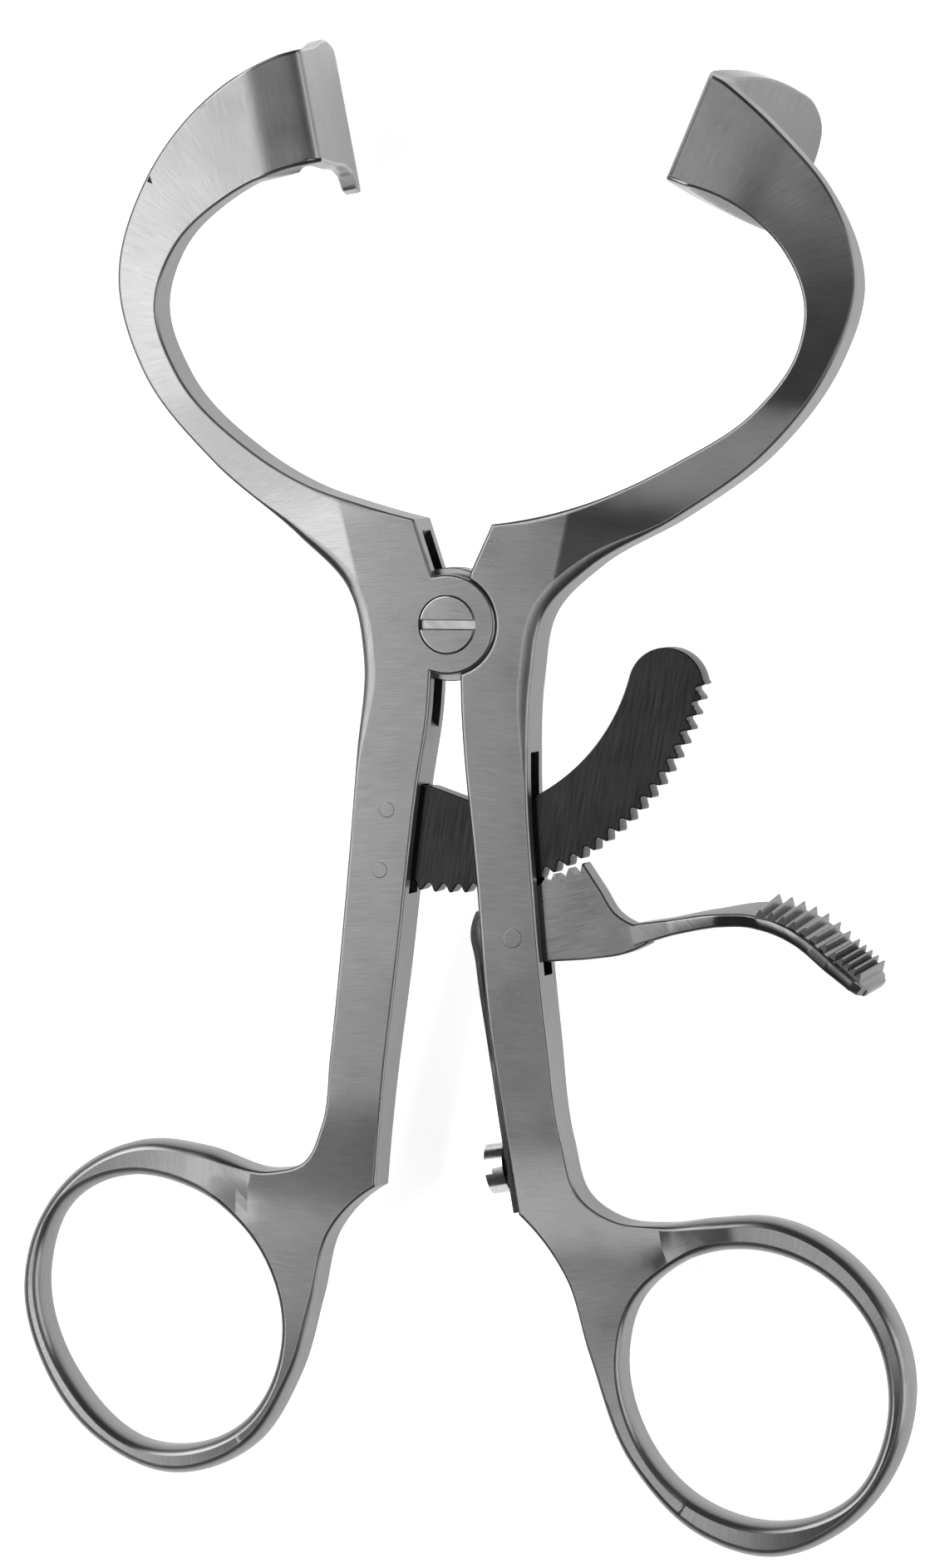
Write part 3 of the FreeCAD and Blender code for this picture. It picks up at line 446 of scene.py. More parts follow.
def forge_arm(side, outer, joint_side, inner, hole, ring_centre, spine, crotch_place, facet, bend, foot, end, top, bend_round, flare,
              bend_form):
    """One arm drawn flat, with its jaw's end unrolled, and then bent round as at the forge.

    Beyond the root line the plan's distance is the path length along the front of the bend, and a
    point at depth d under the front of thickness t goes to front + d/t (back - front).
    """
    place = np.array(facet[0])
    facet_way = np.subtract(facet[1], facet[0]) / np.linalg.norm(np.subtract(facet[1], facet[0]))
    away = side * np.array([facet_way[1], -facet_way[0]])
    heel = np.array(bend[0])
    up = np.subtract(bend[1], bend[0]) / np.linalg.norm(np.subtract(bend[1], bend[0]))
    inward = side * np.array([-up[1], up[0]])

    def leaned(xy):
        return THICK / 2 - (xy - place) @ away * FRONT_LEAN

    zf = float(leaned(heel))
    lean = math.atan(flare / (PLATE_DEPTH - bend_round))
    down = np.array([-math.sin(lean), -math.cos(lean)])
    out = np.array([math.cos(lean), -math.sin(lean)])
    slope = -float(inward @ away) * FRONT_LEAN
    over = np.array([1.0, slope]) / math.hypot(1.0, slope)
    face = np.array([-bend_round, zf - bend_round]) + bend_round * out
    far = face + down * ((face[1] - zf + PLATE_DEPTH) / math.cos(lean))
    level = np.array([1.0, 0.0])
    front_line = set_on(bent_line(over, down, far, *bend_form), np.array([0.0, zf]))
    back_line = set_on(bent_line(level, down, far - PLATE_THICK * out, HOLLOW_ROUND * (math.pi / 2 - lean), 1),
                       np.array([0.0, zf - STRIP_THICK]))
    root = min(front_line["bow"][0, 0], back_line["bow"][0, 0]) - 0.5
    front_line["start"] = np.array([root, zf + slope * root])
    back_line["start"] = np.array([root, zf - STRIP_THICK])
    stations = line_stations(front_line)
    root_height = (heel + inward * root)[1]

    def bend_place(xy):
        a, h = (xy - heel) @ inward, (xy - heel) @ up
        beyond = (a > root) & (h > -JAW_REACH)
        k = np.interp(a - root, stations, np.arange(4.0))
        return a, h, beyond, k

    def thickness(k):
        return np.linalg.norm(on_bent_line(front_line, k) - on_bent_line(back_line, k), axis=-1)

    def front(xy):
        a, h, beyond, k = bend_place(xy)
        half = (RING_THICK + (THICK - RING_THICK) * smooth_share(xy[..., 1], *RING_TAPER)) / 2
        tilt = leaned(xy)
        past_joint = xy[..., 1] > facet[1][1] + THICK
        tilt = np.where(past_joint | (xy[..., 1] > facet[0][1] - 1), tilt, THICK)
        body = np.where(past_joint, tilt, np.minimum(half, tilt))
        return np.where(beyond, leaned(xy - (a - root)[..., None] * inward), body)

    def back(xy):
        a, h, beyond, k = bend_place(xy)
        half = (RING_THICK + (THICK - RING_THICK) * smooth_share(xy[..., 1], *RING_TAPER)) / 2
        share = np.clip((xy[..., 1] - BACK_RISE) / (root_height - BACK_RISE), 0, 1)
        body = -half + (THICK / 2 + zf - STRIP_THICK) * (0.2 * share + 0.8 * share ** 2)
        return np.where(beyond, front(xy) - thickness(k), body)

    def unrolled(edge):
        """A plate edge, given as depth and height, as plan points beyond the root line."""
        edge = fair_curve(edge)
        k = np.linspace(0, 3, 400)
        depth = zf - on_bent_line(front_line, k)[:, 1]
        length = np.interp(edge[:, 0], depth, np.interp(k, np.arange(4.0), stations))
        return heel + (root + length)[:, None] * inward + edge[:, 1:] * up

    plate_foot = unrolled(foot)
    plate_foot = plate_foot[(plate_foot - heel) @ inward > -1.2]
    plate_top = unrolled(top)
    plate_top = plate_top[(plate_top - heel) @ inward > -1.2]
    jaw_end = [even_steps(edge, 0.25) for edge in (plate_foot, unrolled(end), plate_top)]
    runs = [fair_curve(outer)] + joint_side + [fair_curve(inner)] + jaw_end
    runs += [np.array([jaw_end[-1][-1], outer[0]])]
    plan = closed_loop(runs)
    hole_loop = closed_loop([np.vstack([fair_curve(hole, True), hole[:1]])])[::-1]

    def rounding(loop, least):
        """Edge rounding per point: broken edges, growing round the ring away from the shank."""
        arm = (loop - ring_centre) * (-side, 1)
        turn = np.degrees(np.arctan2(arm[:, 1], arm[:, 0]))
        share = np.maximum(smooth_share(turn, 46, 76), smooth_share(-turn, -23, 62))
        share = (least + (1 - least) * share) * (1 - smooth_share(np.hypot(*arm.T), 19.5, 22.0))
        neck = (1 - smooth_share(np.linalg.norm(loop - neck_place, axis=1), 5.0, 17.0)) * (least == 0)
        neck *= smooth_share(side * loop[:, 0], 6.0, 8.5)
        return (EDGE_ROUND + share[:, None] * (np.array(RING_ROUND) - EDGE_ROUND)
                + neck[:, None] * (np.array(NECK_ROUND) - EDGE_ROUND))

    neck_place = np.array(facet[0]) + (2.0 * side, -5.0)
    facet_line = np.linspace(place - 3 * facet_way, np.add(facet[1], 3 * facet_way), 50)
    creases = [facet_line + away * shift for shift in (-0.25, 0.0, 0.25)]
    creases += [heel + inward * (root + at) + up * np.linspace(-4, 16, 50)[:, None]
                for at in np.arange(-0.3, stations[2] + 0.6, 0.3)]
    points, faces, is_wall = solid_plate([plan, hole_loop], [rounding(plan, 0.0), rounding(hole_loop, 0.35)],
                                         back, front, creases)

    # Brushing runs across the arm, and round it on the walls: the fine way of the grain is the first
    # coordinate, its long way the second, both in millimetres along the surface.
    xy = points[:, :2]
    a, h, beyond, k = bend_place(xy)
    spine = even_steps(fair_curve(spine), 0.5)
    near = np.concatenate([np.argmin(((xy[i:i + 2000, None] - spine[None]) ** 2).sum(2), 1)
                           for i in range(0, len(xy), 2000)])
    ahead = np.gradient(spine, axis=0)
    ahead /= np.linalg.norm(ahead, axis=1)[:, None]
    along = near * 0.5 + ((xy - spine[near]) * ahead[near]).sum(1)
    aside = ((xy - spine[near]) * np.column_stack([-ahead[near, 1], ahead[near, 0]])).sum(1)
    neck_at = np.argmin(np.abs(spine[:, 1] - 10.0)) * 0.5
    on_shank = smooth_share(xy[:, 1], crotch_place[1] - 6, crotch_place[1] + 6)
    along += on_shank * (neck_at + 10.0 - xy @ (0.09 * side, 0.996) - along)
    shank_middle = np.mean(spine[(spine[:, 1] < -10) & (spine[:, 1] > -50), 0])
    aside += on_shank * (xy[:, 0] - shank_middle - aside)
    from_bow = (xy - (13.5 * side, 31.0)) * (side, 1)
    on_bow = smooth_share(xy[:, 1], 10.0, 24.0)
    bow_turn = np.arctan2(from_bow[:, 1], from_bow[:, 0])
    along += on_bow * (neck_at - 25 * (bow_turn + math.pi / 2) - along)
    aside += on_bow * (side * (np.hypot(*from_bow.T) - 25) - aside)
    near_bend = (h > -JAW_REACH) * smooth_share(a, root - 8.0, root - 0.5)
    level_with = np.mean(along[(np.abs(a - root + 4) < 1) & (h > 2) & (h < 10)]) + root - 4
    along += near_bend * (level_with - a - along)
    aside += near_bend * (side * (h - 6) - aside)
    from_ring = (xy - ring_centre) * (-side, 1)
    around = np.degrees(np.arctan2(from_ring[:, 1], from_ring[:, 0])) % 360
    ring_reach = np.hypot(*from_ring.T)
    on_ring = (smooth_share(around, 46, 82) * (around < 301) * (1 - smooth_share(ring_reach, 19.0, 23.0)))
    crotch = np.argmin(np.linalg.norm(spine - crotch_place, axis=1)) * 0.5
    along = along + on_ring * (crotch + 17 * np.radians(around - 46) - along)
    aside = aside + on_ring * (side * (ring_reach - 17) - aside)
    flat_grain = np.column_stack([along, aside])
    wall_grain = np.column_stack([points[:, 2] - np.abs(aside), along])
    corners = np.concatenate([np.array(face) for face in faces])
    wall_corner = np.repeat(is_wall, [len(face) for face in faces])
    grain = np.where(wall_corner[:, None], wall_grain[corners], flat_grain[corners])

    # The jaw's end is bent round
    depth = front(xy) - points[:, 2]
    share = (depth / np.where(beyond, thickness(k), 1.0))[:, None]
    front_at, back_at = on_bent_line(front_line, k), on_bent_line(back_line, k)
    bent = front_at + share * (back_at - front_at)
    shift = (leaned(xy - (a - root)[:, None] * inward) - front_line["start"][1]) * (1 - share[:, 0])
    curled = np.column_stack([heel + bent[:, :1] * inward + h[:, None] * up, bent[:, 1] + shift])
    return np.where(beyond[:, None], curled, points), faces, grain


def prism(outline, low, high):
    """Closed prism over a plan outline, as vertices and faces."""
    n = len(outline)
    points = np.vstack([np.column_stack([outline, np.full(n, z)]) for z in (low, high)])
    sides = grid_faces(2, n, 0).tolist()
    return points, sides + [list(range(n))[::-1], list(range(n, 2 * n))]


def round_plan(place, radius):
    """Circle in the plan, counter-clockwise."""
    return arc_about(place, radius, 0, 354)


def ring_grid(profile, turns=96):
    """Closed ring about the pivot: a closed profile of (radius, height) carried round, outside to the right."""
    angle = np.arange(turns) * 2 * math.pi / turns
    x = profile[None, :, 0] * np.cos(angle)[:, None]
    y = profile[None, :, 0] * np.sin(angle)[:, None]
    z = np.broadcast_to(profile[None, :, 1], x.shape)
    points = np.stack([x, y, z], -1).reshape(-1, 3)
    n = len(profile)
    row, column = np.meshgrid(np.arange(turns), np.arange(n), indexing="ij")
    row_next, column_next = (row + 1) % turns, (column + 1) % n
    quads = np.stack([row * n + column, row_next * n + column, row_next * n + column_next,
                      row * n + column_next], -1)
    return points, quads.reshape(-1, 4).tolist()


def as_object(name, points, faces, grain=None):
    """A new object from vertices in millimetres, its grain kept as a UV map."""
    mesh = bpy.data.meshes.new(name)
    mesh.from_pydata(np.asarray(points).tolist(), [], faces)
    layer = mesh.uv_layers.new(name="grain")
    if grain is None:
        corners = np.asarray(points)[np.concatenate([np.array(face) for face in faces])]
        grain = np.column_stack([corners[:, 2], corners[:, 0] + corners[:, 1]])
    layer.data.foreach_set("uv", np.asarray(grain, np.float32).ravel())
    made = bpy.data.objects.new(name, mesh)
    bpy.context.collection.objects.link(made)
    return made


def combine(piece, solids, operation):
    """Cuts closed solids from a piece, or joins them to it, one after another."""
    for points, faces in solids:
        cutter = as_object("tool", points, faces)
        cut = piece.modifiers.new("combine", "BOOLEAN")
        cut.operation = operation
        cut.solver = "EXACT"
        cut.object = cutter
        bpy.context.view_layer.update()
        shaped = bpy.data.meshes.new_from_object(piece.evaluated_get(bpy.context.evaluated_depsgraph_get()))
        piece.modifiers.clear()
        piece.data = shaped
        bpy.data.objects.remove(cutter)


def finish_piece(piece, material, body, nodes, smooth=35):
    """Turns a piece from millimetres to its place in the frame, and gives it its finish and its body.

    Its normals are weighted by area, so that the flats stay flat up to their broken edges.
    """
    flat = np.empty(len(piece.data.vertices) * 3)
    piece.data.vertices.foreach_get("co", flat)
    piece.data.vertices.foreach_set("co", in_place(flat.reshape(-1, 3)).ravel())
    piece.data.shade_smooth()
    piece.data.set_sharp_from_angle(angle=math.radians(smooth))
    shading = piece.modifiers.new("area_weighted_normals", "WEIGHTED_NORMAL")
    shading.mode = "FACE_AREA"
    shading.keep_sharp = True
    piece.data.update()
    piece.data.materials.clear()
    piece.data.materials.append(material)
    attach(piece, body)
    if nodes:
        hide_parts(*nodes)


SLOT_WIDTH = 3.0
BORE = 2.12
left_outer = (
    (-18.8, 60.0), (-26.1, 55.9), (-34.1, 46.2), (-36.9, 36.7), (-34.2, 26.7), (-26.2, 17.0), (-16.5, 9.2),
    (-10.9, 3.5), (-9.3, -3.5), (-10.0, -13.5), (-11.3, -29.0), (-13.1, -45.9), (-14.2, -53.5), (-16.2, -57.3),
    (-19.8, -58.3), (-27.6, -56.1), (-34.5, -55.5), (-41.7, -58.6), (-46.6, -64.8), (-48.1, -71.8),
    (-46.0, -80.0), (-39.9, -87.8), (-31.5, -91.2), (-22.7, -88.2), (-17.5, -80.3), (-15.1, -71.7),
    (-13.2, -64.6), (-8.1, -59.7))
left_joint = [
    fair_curve(((-8.1, -59.7), (-7.2, -49.5), (-5.5, -35.9), (-3.3, -17.2), (-2.0, -8.6), (-1.8, -5.0))),
    arc_about((0, 0), 5.3, -109.8, 107.4), np.array(((-1.6, 5.1), (-3.6, 11.1)))]
left_inner = ((-3.6, 11.1), (-10.1, 12.8), (-15.0, 14.4), (-22.1, 18.4), (-30.2, 26.5), (-32.5, 33.6),
              (-30.4, 39.6), (-24.5, 44.9), (-16.5, 48.2))
left_ring_hole = ((-35.6, -59.3), (-43.0, -62.6), (-45.7, -70.0), (-42.6, -80.8), (-34.2, -87.9),
                  (-23.5, -85.5), (-18.8, -75.5), (-22.6, -65.0), (-29.2, -60.5))
left_shape = forge_arm(
    -1, left_outer, left_joint, left_inner, left_ring_hole, (-31.8, -73.5),
    left_outer[:13] + ((-15.4, -60.0), (-16.4, -68.0), (-18.0, -77.0), (-21.5, -85.0)), (-15.2, -56.0),
    facet=((-9.9, 4.4), (-12.1, 13.2)), bend=((-14.5, 48.6), (-16.8, 60.4)),
    foot=((0.0, 0.0), (11.0, 0.1), (21.5, 0.0), (24.2, -0.6), (25.6, -2.0)),
    end=((27.5, -2.0), (27.5, 5.0), (27.5, 12.6)),
    top=((27.5, 12.6), (26.9, 13.8), (25.4, 14.2), (11.0, 13.1), (0.0, 12.0)), bend_round=3.4, flare=4.0,
    bend_form=(7.5, 12.0, 0.11, 0.3))
left_arm = as_object("left_forged_arm", *left_shape)
combine(left_arm, [
    prism(round_plan((9.4, 0), 16.0), -SLOT_WIDTH / 2, SLOT_WIDTH / 2),
    prism(np.array(((-8.75, -28.55), (0.5, -28.55), (0.5, -16.95), (-8.75, -16.95))), -SLOT_WIDTH / 2,
          SLOT_WIDTH / 2),
    prism(round_plan((0, 0), 3.15), THICK / 2 - 1.02, 9.0),
    prism(round_plan((0, 0), BORE), -9.0, 9.0),
    prism(round_plan((-6.6, -19.6), 0.82), -9.0, 9.0),
    prism(round_plan((-7.4, -26.0), 0.82), -9.0, 9.0)], "DIFFERENCE")

right_outer = (
    (30.0, 56.8), (36.2, 51.2), (41.4, 44.8), (44.0, 35.6), (41.5, 27.6), (34.4, 18.2), (24.9, 11.4),
    (15.3, 6.0), (10.6, 1.3), (9.2, -5.5), (8.8, -15.0), (9.6, -29.0), (11.0, -43.0), (12.6, -54.5),
    (14.6, -60.3), (18.5, -62.6), (23.3, -62.8), (28.8, -62.0), (35.0, -61.8), (41.5, -64.3), (46.8, -69.3),
    (50.1, -77.5), (49.0, -86.0), (43.0, -94.2), (35.2, -97.5), (27.3, -95.6), (19.9, -88.4), (15.4, -76.7),
    (12.8, -68.6), (7.7, -62.2))
right_joint = [
    fair_curve(((7.7, -62.2), (6.3, -53.9), (4.5, -41.9), (3.2, -27.0), (1.5, -8.0), (1.44, -5.15))),
    arc_about((0, 0), 5.35, -74.4, 62.9), np.array(((2.44, 4.76), (2.5, 5.4), (4.9, 10.6)))]
right_inner = ((4.9, 10.6), (13.5, 12.3), (24.9, 17.2), (33.2, 22.6), (37.7, 28.9), (38.4, 33.5),
               (36.3, 39.0), (32.0, 43.2), (25.4, 46.0))
right_ring_hole = ((32.0, -65.2), (25.0, -66.9), (20.2, -71.3), (18.8, -76.9), (20.5, -84.4),
                   (26.7, -91.5), (35.9, -93.8), (43.6, -90.7), (47.3, -83.3), (46.5, -74.9), (40.8, -67.9))
right_shape = forge_arm(
    1, right_outer, right_joint, right_inner, right_ring_hole, (33.5, -79.6),
    right_outer[:14] + ((14.6, -61.5), (15.6, -70.0), (17.2, -80.0), (21.0, -89.0)), (14.6, -60.3),
    facet=((11.4, 2.9), (13.3, 11.6)), bend=((23.6, 46.8), (28.2, 57.6)),
    foot=((0.0, 0.0), (10.0, -1.6), (18.5, -2.6), (27.0, -3.2)),
    end=((27.5, -2.8), (27.5, 1.5), (27.5, 5.4)),
    top=((27.5, 5.4), (26.5, 8.7), (22.5, 11.5), (17.0, 12.6), (9.0, 13.0), (0.0, 11.7)), bend_round=2.2,
    flare=6.0, bend_form=(2.6, 1.0, 0.42, 0.08))
right_arm = as_object("right_forged_arm", *right_shape)
combine(right_arm, [
    prism(np.array(((-2.0, -44.0), (4.0, -44.0), (9.0, -36.9), (14.0, -36.9), (14.0, -13.4), (-2.0, -13.4))),
          -SLOT_WIDTH / 2, SLOT_WIDTH / 2),
    prism(round_plan((7.2, -32.9), 1.02), -9.0, 9.0)], "DIFFERENCE")
tongue = np.array(((2.15, -1.4), (2.15, 1.4), (2.2, 1.45), (5.9, 1.45), (6.0, 1.35), (6.0, -1.35), (5.9, -1.45),
                   (2.2, -1.45)))
tongue_disc = as_object("box_joint_tongue", *ring_grid(tongue))

steel = satin_steel("satin_forged_steel", ("#7B7B7B", "#909090"), 0.29, 0.12, "grain")
plain_steel = satin_steel("satin_ground_steel", ("#8A8A8A", "#ABABAB"), 0.3, 0.2)
finish_piece(left_arm, steel, "left_side", ["left_arm"])
finish_piece(right_arm, steel, "right_side", ["right_arm"])
finish_piece(tongue_disc, steel, "right_side", [])

# ---- The toothed rack
# A flat arc about the pivot, milled from hardened steel and riveted into the left shank. Its teeth and
# edges are only lightly broken, and it keeps the grey of hardening.
RACK_THICK = 2.8
TOOTH_TIP = 28.4
TOOTH_ROOT = 27.4
FIRST_TOOTH = -12.0          # degrees
TOOTH_PITCH = 3.4
TOOTH_COUNT = 26
RACK_INSIDE = 20.2


def polar(radius, degrees):
    """Points of the plan by distance from the pivot and angle from X."""
    turn = np.radians(degrees)
    return np.stack(np.broadcast_arrays(radius * np.cos(turn), radius * np.sin(turn)), -1)


def tooth_line(grow):
    """The teeth from the free end on: crest, steep flank, root and gentle flank, grown by a clearance."""
    crest = FIRST_TOOTH - TOOTH_PITCH * np.arange(TOOTH_COUNT)
    wide = math.degrees(grow / TOOTH_TIP)
    angles = crest[:, None] + np.array((0.25 + wide, -0.25 - wide, -1.17 - wide, -1.77 + wide))
    radii = np.array((TOOTH_TIP, TOOTH_TIP, TOOTH_ROOT, TOOTH_ROOT)) + grow
    return polar(radii[None], angles).reshape(-1, 2)


def eased(loop, times):
    """A closed loop with its corners eased: each point moves half-way to the mean of its neighbours."""
    for _ in range(times):
        loop = (np.roll(loop, 1, 0) + 2 * loop + np.roll(loop, -1, 0)) / 4
    return loop


def straight_grain(points, faces, is_wall, degrees):
    """Grain of a flat piece: on its flats the scratches run at an angle to X, on its walls along the rim."""
    turn = math.radians(degrees)
    xy = points[:, :2]
    along = xy @ (math.cos(turn), math.sin(turn))
    across = xy @ (-math.sin(turn), math.cos(turn))
    corners = np.concatenate([np.array(face) for face in faces])
    wall_corner = np.repeat(is_wall, [len(face) for face in faces])
    return np.where(wall_corner[:, None], np.column_stack([points[:, 2] * 3, along])[corners],
                    np.column_stack([across, along])[corners])


def level(height):
    """A flat face at one height."""
    return lambda xy: np.full(xy.shape[:-1], height)


teeth = tooth_line(0.0)[:-1]
rack_plan = eased(closed_loop([
    teeth, np.array((teeth[-1], (-8.6, -27.28), (-8.6, -17.1), (-2.2, -17.1), polar(RACK_INSIDE, -75.8))),
    arc_about((0, 0), RACK_INSIDE, -75.8, -15.0), arc_about(polar(24.3, -15.0), 4.1, 165.0, 8.0),
    np.array((polar(24.3, -15.0) + polar(4.1, 8.0), teeth[0]))], 0.12), 5)
rack_points, rack_faces, rack_wall = solid_plate(
    [rack_plan], [np.full((len(rack_plan), 2), 0.12)], level(-RACK_THICK / 2), level(RACK_THICK / 2), (), 1.0)
rack = as_object("toothed_rack", rack_points, rack_faces, straight_grain(rack_points, rack_faces, rack_wall, 80))
rack_steel = satin_steel("hardened_milled_steel", ("#1F1F20", "#343435"), 0.26, 0.2, "grain")
finish_piece(rack, rack_steel, "left_side", ["ratchet_rack"])

# ---- The release lever
# Pawl plate, strip and ribbed thumb piece in one, milled from the same steel. The strip is twisted a
# little towards the user, and twelve sharp ridges are filed across the thumb piece.
LEVER_THICK = 2.8
PIN_PLACE = (7.2, -32.9)
ENGAGE = 7.6                 # degrees from just clear of the rack to fully home
RIDGES = 12
lever_strip = np.array((
    (19.8, -32.5, 2.4, 2.8, 0.0), (24.0, -31.5, 1.7, 2.9, 3.0), (29.0, -30.5, 1.5, 4.0, 7.0),
    (34.0, -30.2, 1.5, 7.0, 10.0), (38.3, -31.6, 1.5, 8.0, 10.0), (42.2, -34.6, 1.5, 8.0, 10.0),
    (44.6, -36.55, 1.4, 7.7, 10.0), (45.3, -37.15, 1.3, 6.9, 10.0),
    (45.6, -37.4, 1.1, 5.6, 10.0)))       # centre (x, y), thickness, width, cant in degrees


def swept_strip(stations, corner):
    """Closed strip: a rectangle with rounded corners carried along a line, canted about the line's way.

    Its rows are the sections; the first and last are drawn in to a rounded end by four smaller rows.
    """
    line = fair_curve(stations[:, :2], steps=10)
    at = np.arange(len(line)) / 10
    thick, wide, cant = (np.interp(at, np.arange(len(stations)), stations[:, i]) for i in (2, 3, 4))
    way = np.gradient(line, axis=0)
    way /= np.linalg.norm(way, axis=1)[:, None]
    turn = np.linspace(0, math.pi / 2, 4)
    quarter = corner * np.column_stack([np.cos(turn), np.sin(turn)])
    signs = np.array(((1, 1), (-1, 1), (-1, -1), (1, -1)))
    rims = np.concatenate([quarter * signs[0], (quarter * signs[1])[::-1], quarter * signs[2],
                           (quarter * signs[3])[::-1]])
    sign = np.repeat(signs, 4, 0)
    ends = np.concatenate([[0] * 3, np.arange(len(line)), [len(line) - 1] * 3])
    draw = np.concatenate([[0.7, 0.25, 0.06], np.zeros(len(line)), [0.06, 0.25, 0.7]]) * corner
    push = np.concatenate([[-1.0, -0.7, -0.35], np.zeros(len(line)), [0.35, 0.7, 1.0]]) * corner
    half = np.column_stack([thick, wide])[ends] / 2 - corner - draw[:, None]
    section = half[:, None] * sign[None] + rims[None]
    over = np.column_stack([-way[:, 1], way[:, 0], np.zeros(len(line))])[ends]
    lean = np.radians(cant)[ends][:, None]
    up = np.array((0.0, 0.0, 1.0))
    tilted = over * np.cos(lean) + up * np.sin(lean)
    across = up * np.cos(lean) - over * np.sin(lean)
    middle = np.column_stack([line[ends] + way[ends] * push[:, None], np.zeros(len(ends))])
    points = middle[:, None] + section[..., :1] * tilted[:, None] + section[..., 1:] * across[:, None]
    rows, columns = section.shape[:2]
    faces = grid_faces(rows, columns, 0).tolist()
    faces += [list(range(columns))[::-1], list(range((rows - 1) * columns, rows * columns))]
    length = np.concatenate([[0], np.cumsum(np.linalg.norm(np.diff(line, axis=0), axis=1))])[ends]
    return points.reshape(-1, 3), faces, (line, way, tilted[3:-3], across[3:-3], length)


def outward_faces(points, faces):
    """The faces of a closed solid turned outwards, by the sign of the volume that they enclose."""
    p = np.asarray(points)
    volume = sum(float(np.dot(p[f[0]], np.cross(p[f[i]], p[f[i + 1]]))) for f in faces for i in range(1, len(f) - 1))
    return [face[::-1] for face in faces] if volume < 0 else faces


lever_plan = closed_loop([
    fair_curve(((14.3, -24.65), (16.4, -27.7), (18.1, -30.2), (20.4, -31.4))), np.array(((20.4, -31.4), (21.6, -33.3))),
    fair_curve(((21.6, -33.3), (18.8, -34.5), (15.8, -35.0), (9.5, -35.6), (5.2, -36.4), (3.75, -35.4))),
    fair_curve(((3.75, -35.4), (5.6, -30.9), (8.0, -28.6), (10.6, -26.45))),
    np.array(((10.6, -26.45), polar(28.52, -64.0), (14.3, -24.65)))], 0.3)
lever_points, lever_faces, lever_wall = solid_plate(
    [lever_plan], [np.full((len(lever_plan), 2), 0.2)], level(-LEVER_THICK / 2), level(LEVER_THICK / 2), (), 1.0)
lever = as_object("release_lever_forging", lever_points, lever_faces,
                  straight_grain(lever_points, lever_faces, lever_wall, 15))
strip_points, strip_faces, strip_frame = swept_strip(lever_strip, 0.3)
combine(lever, [(strip_points, outward_faces(strip_points, strip_faces))], "UNION")
home = np.array(PIN_PLACE)
for share, clearance in ((1.0, 0.12), (0.6, 0.05), (0.4, 0.05), (0.2, 0.05)):
    sector = np.vstack([tooth_line(clearance), arc_about((0, 0), RACK_INSIDE, -100.0, -14.0)])
    turn = math.radians(-ENGAGE * share)
    spin = np.array(((math.cos(turn), math.sin(turn)), (-math.sin(turn), math.cos(turn))))
    sector = (sector - home) @ spin + home
    points, faces = prism(sector, -5.0, 5.0)
    combine(lever, [(points, outward_faces(points, faces))], "DIFFERENCE")
combine(lever, [prism(round_plan(PIN_PLACE, 1.05), -5.0, 5.0)], "DIFFERENCE")
lever_steel = satin_steel("milled_lever_steel", ("#6A6A6A", "#828282"), 0.26, 0.14, "grain")
finish_piece(lever, lever_steel, "lever", ["release_lever"])

RIDGE_LENGTH = 7.2
ridge_section = np.array(((-0.575, 0.0), (-0.1, 0.99), (0.0, 1.07), (0.1, 0.99), (0.575, 0.0)))
line, way, over, across_strip, _ = strip_frame
at = 30 + 32 * (np.arange(RIDGES) + 0.2) / RIDGES


def along_strip(values):
    """Values of the strip's frame at the ridges."""
    return np.stack([np.interp(at, np.arange(len(values)), values[:, i]) for i in range(values.shape[1])], -1)


middle = np.column_stack([along_strip(line), np.zeros(RIDGES)]) + along_strip(over) * 0.55
ways = np.column_stack([along_strip(way), np.zeros(RIDGES)])
ridge = (middle[:, None] + ridge_section[None, :, :1] * ways[:, None]
         + ridge_section[None, :, 1:] * along_strip(over)[:, None])
ends = along_strip(across_strip)[:, None] * RIDGE_LENGTH / 2
corners = np.stack([ridge - ends, ridge + ends], 1)
n = len(ridge_section)
one_ridge = grid_faces(2, n, 0).tolist() + [list(range(n))[::-1], list(range(n, 2 * n))]
one_ridge = outward_faces(corners[0].reshape(-1, 3), one_ridge)
ridge_faces = [[v + number * 2 * n for v in face] for number in range(RIDGES) for face in one_ridge]
ridges = as_object("filed_thumb_ridges", corners.reshape(-1, 3), ridge_faces)
finish_piece(ridges, lever_steel, "lever", [], 20)

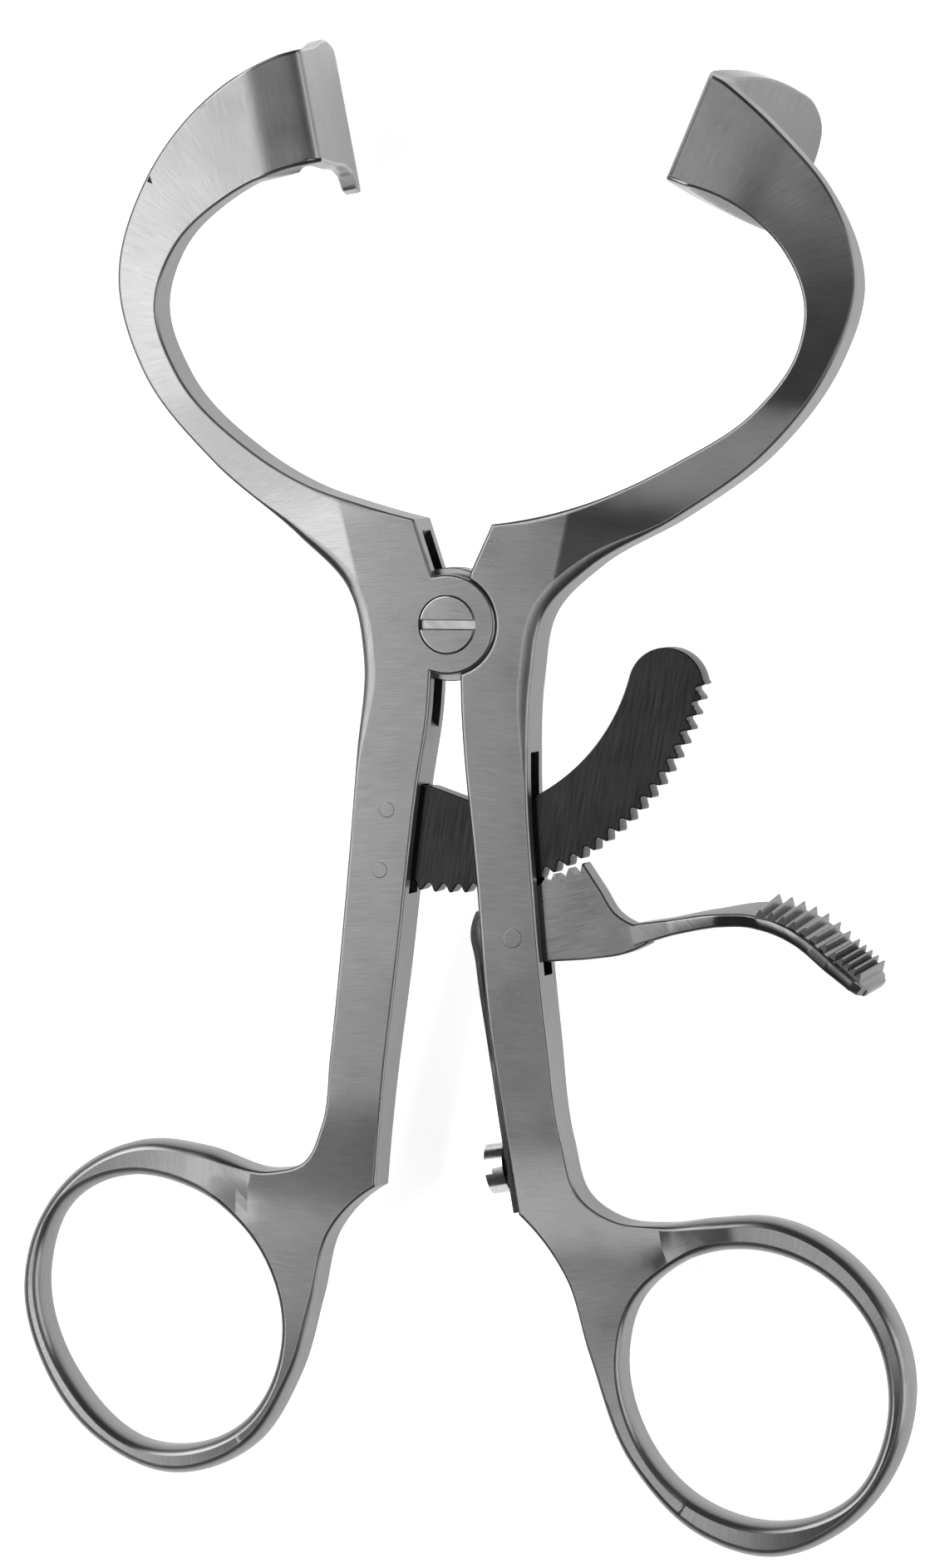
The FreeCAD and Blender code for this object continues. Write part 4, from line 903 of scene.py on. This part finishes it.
# ---- The pivot screw
# A turned steel screw with a wide slot, its head sunk in the left cheek and dressed flush with it, so
# that only a thin dark line shows round the head.
HEAD_RADIUS = 3.06
SLOT_WIDE = 0.9
head_plan = round_plan((0, 0), HEAD_RADIUS)
head_points, head_faces, head_wall = solid_plate(
    [head_plan], [np.full((len(head_plan), 2), 0.13)], level(2.0), level(3.0), (), 0.8)
head_grain = straight_grain(head_points, head_faces, head_wall, 0)
screw = as_object("pivot_screw_head", head_points, head_faces, head_grain)
slot_section = np.array(((-SLOT_WIDE / 2, 2.35), (SLOT_WIDE / 2, 2.35), (SLOT_WIDE / 2, 2.88),
                         (SLOT_WIDE / 2 + 0.62, 3.5), (-SLOT_WIDE / 2 - 0.62, 3.5), (-SLOT_WIDE / 2, 2.88)))
slot_points, slot_faces = prism(slot_section, -9.0, 9.0)
combine(screw, [(slot_points[:, [2, 0, 1]], slot_faces)], "DIFFERENCE")
combine(screw, [prism(round_plan((0, 0), 2.1), -3.0, 2.2)], "UNION")
screw_steel = satin_steel("turned_and_dressed_steel", ("#8A8A8A", "#9E9E9E"), 0.24, 0.14, "grain")
finish_piece(screw, screw_steel, "left_side", ["pivot_screw"])

# ---- The leaf spring, its screw, the rivets and the lever's pin
# The spring is blued strip, held by a bright turned cheese-head screw. Rivets and pin are dressed flush
# with the shanks and ground with them, so they keep the shanks' satin.
bright_steel = satin_steel("bright_turned_steel", ("#A8A8A8", "#D0D0D0"), 0.2, 0.2)
spring_steel = satin_steel("blued_spring_steel", ("#4A4A4B", "#5E5E60"), 0.3, 0.2)
for name, places, radius, body in (("rack_rivets", ((-6.6, -19.6), (-7.4, -26.0)), 0.8, "left_side"),
                                   ("lever_pin", (PIN_PLACE,), 1.0, "right_side")):
    bars = [solid_plate([round_plan(place, radius)], [np.full((60, 2), 0.03)], level(-3.0), level(3.0), (), 0.5)
            for place in places]
    bar_points = np.vstack([bar[0] for bar in bars])
    starts = np.cumsum([0] + [len(bar[0]) for bar in bars[:-1]])
    bar_faces = [[v + start for v in face] for bar, start in zip(bars, starts) for face in bar[1]]
    bar_wall = np.concatenate([bar[2] for bar in bars])
    flush = as_object(name + "_dressed_flush", bar_points, bar_faces,
                      straight_grain(bar_points, bar_faces, bar_wall, 0))
    finish_piece(flush, steel, body, [name])
for name, finish in (("leaf_spring", spring_steel), ("spring_screw", bright_steel)):
    node = frame["nodes"][name]
    node.data.materials.clear()
    node.data.materials.append(finish)
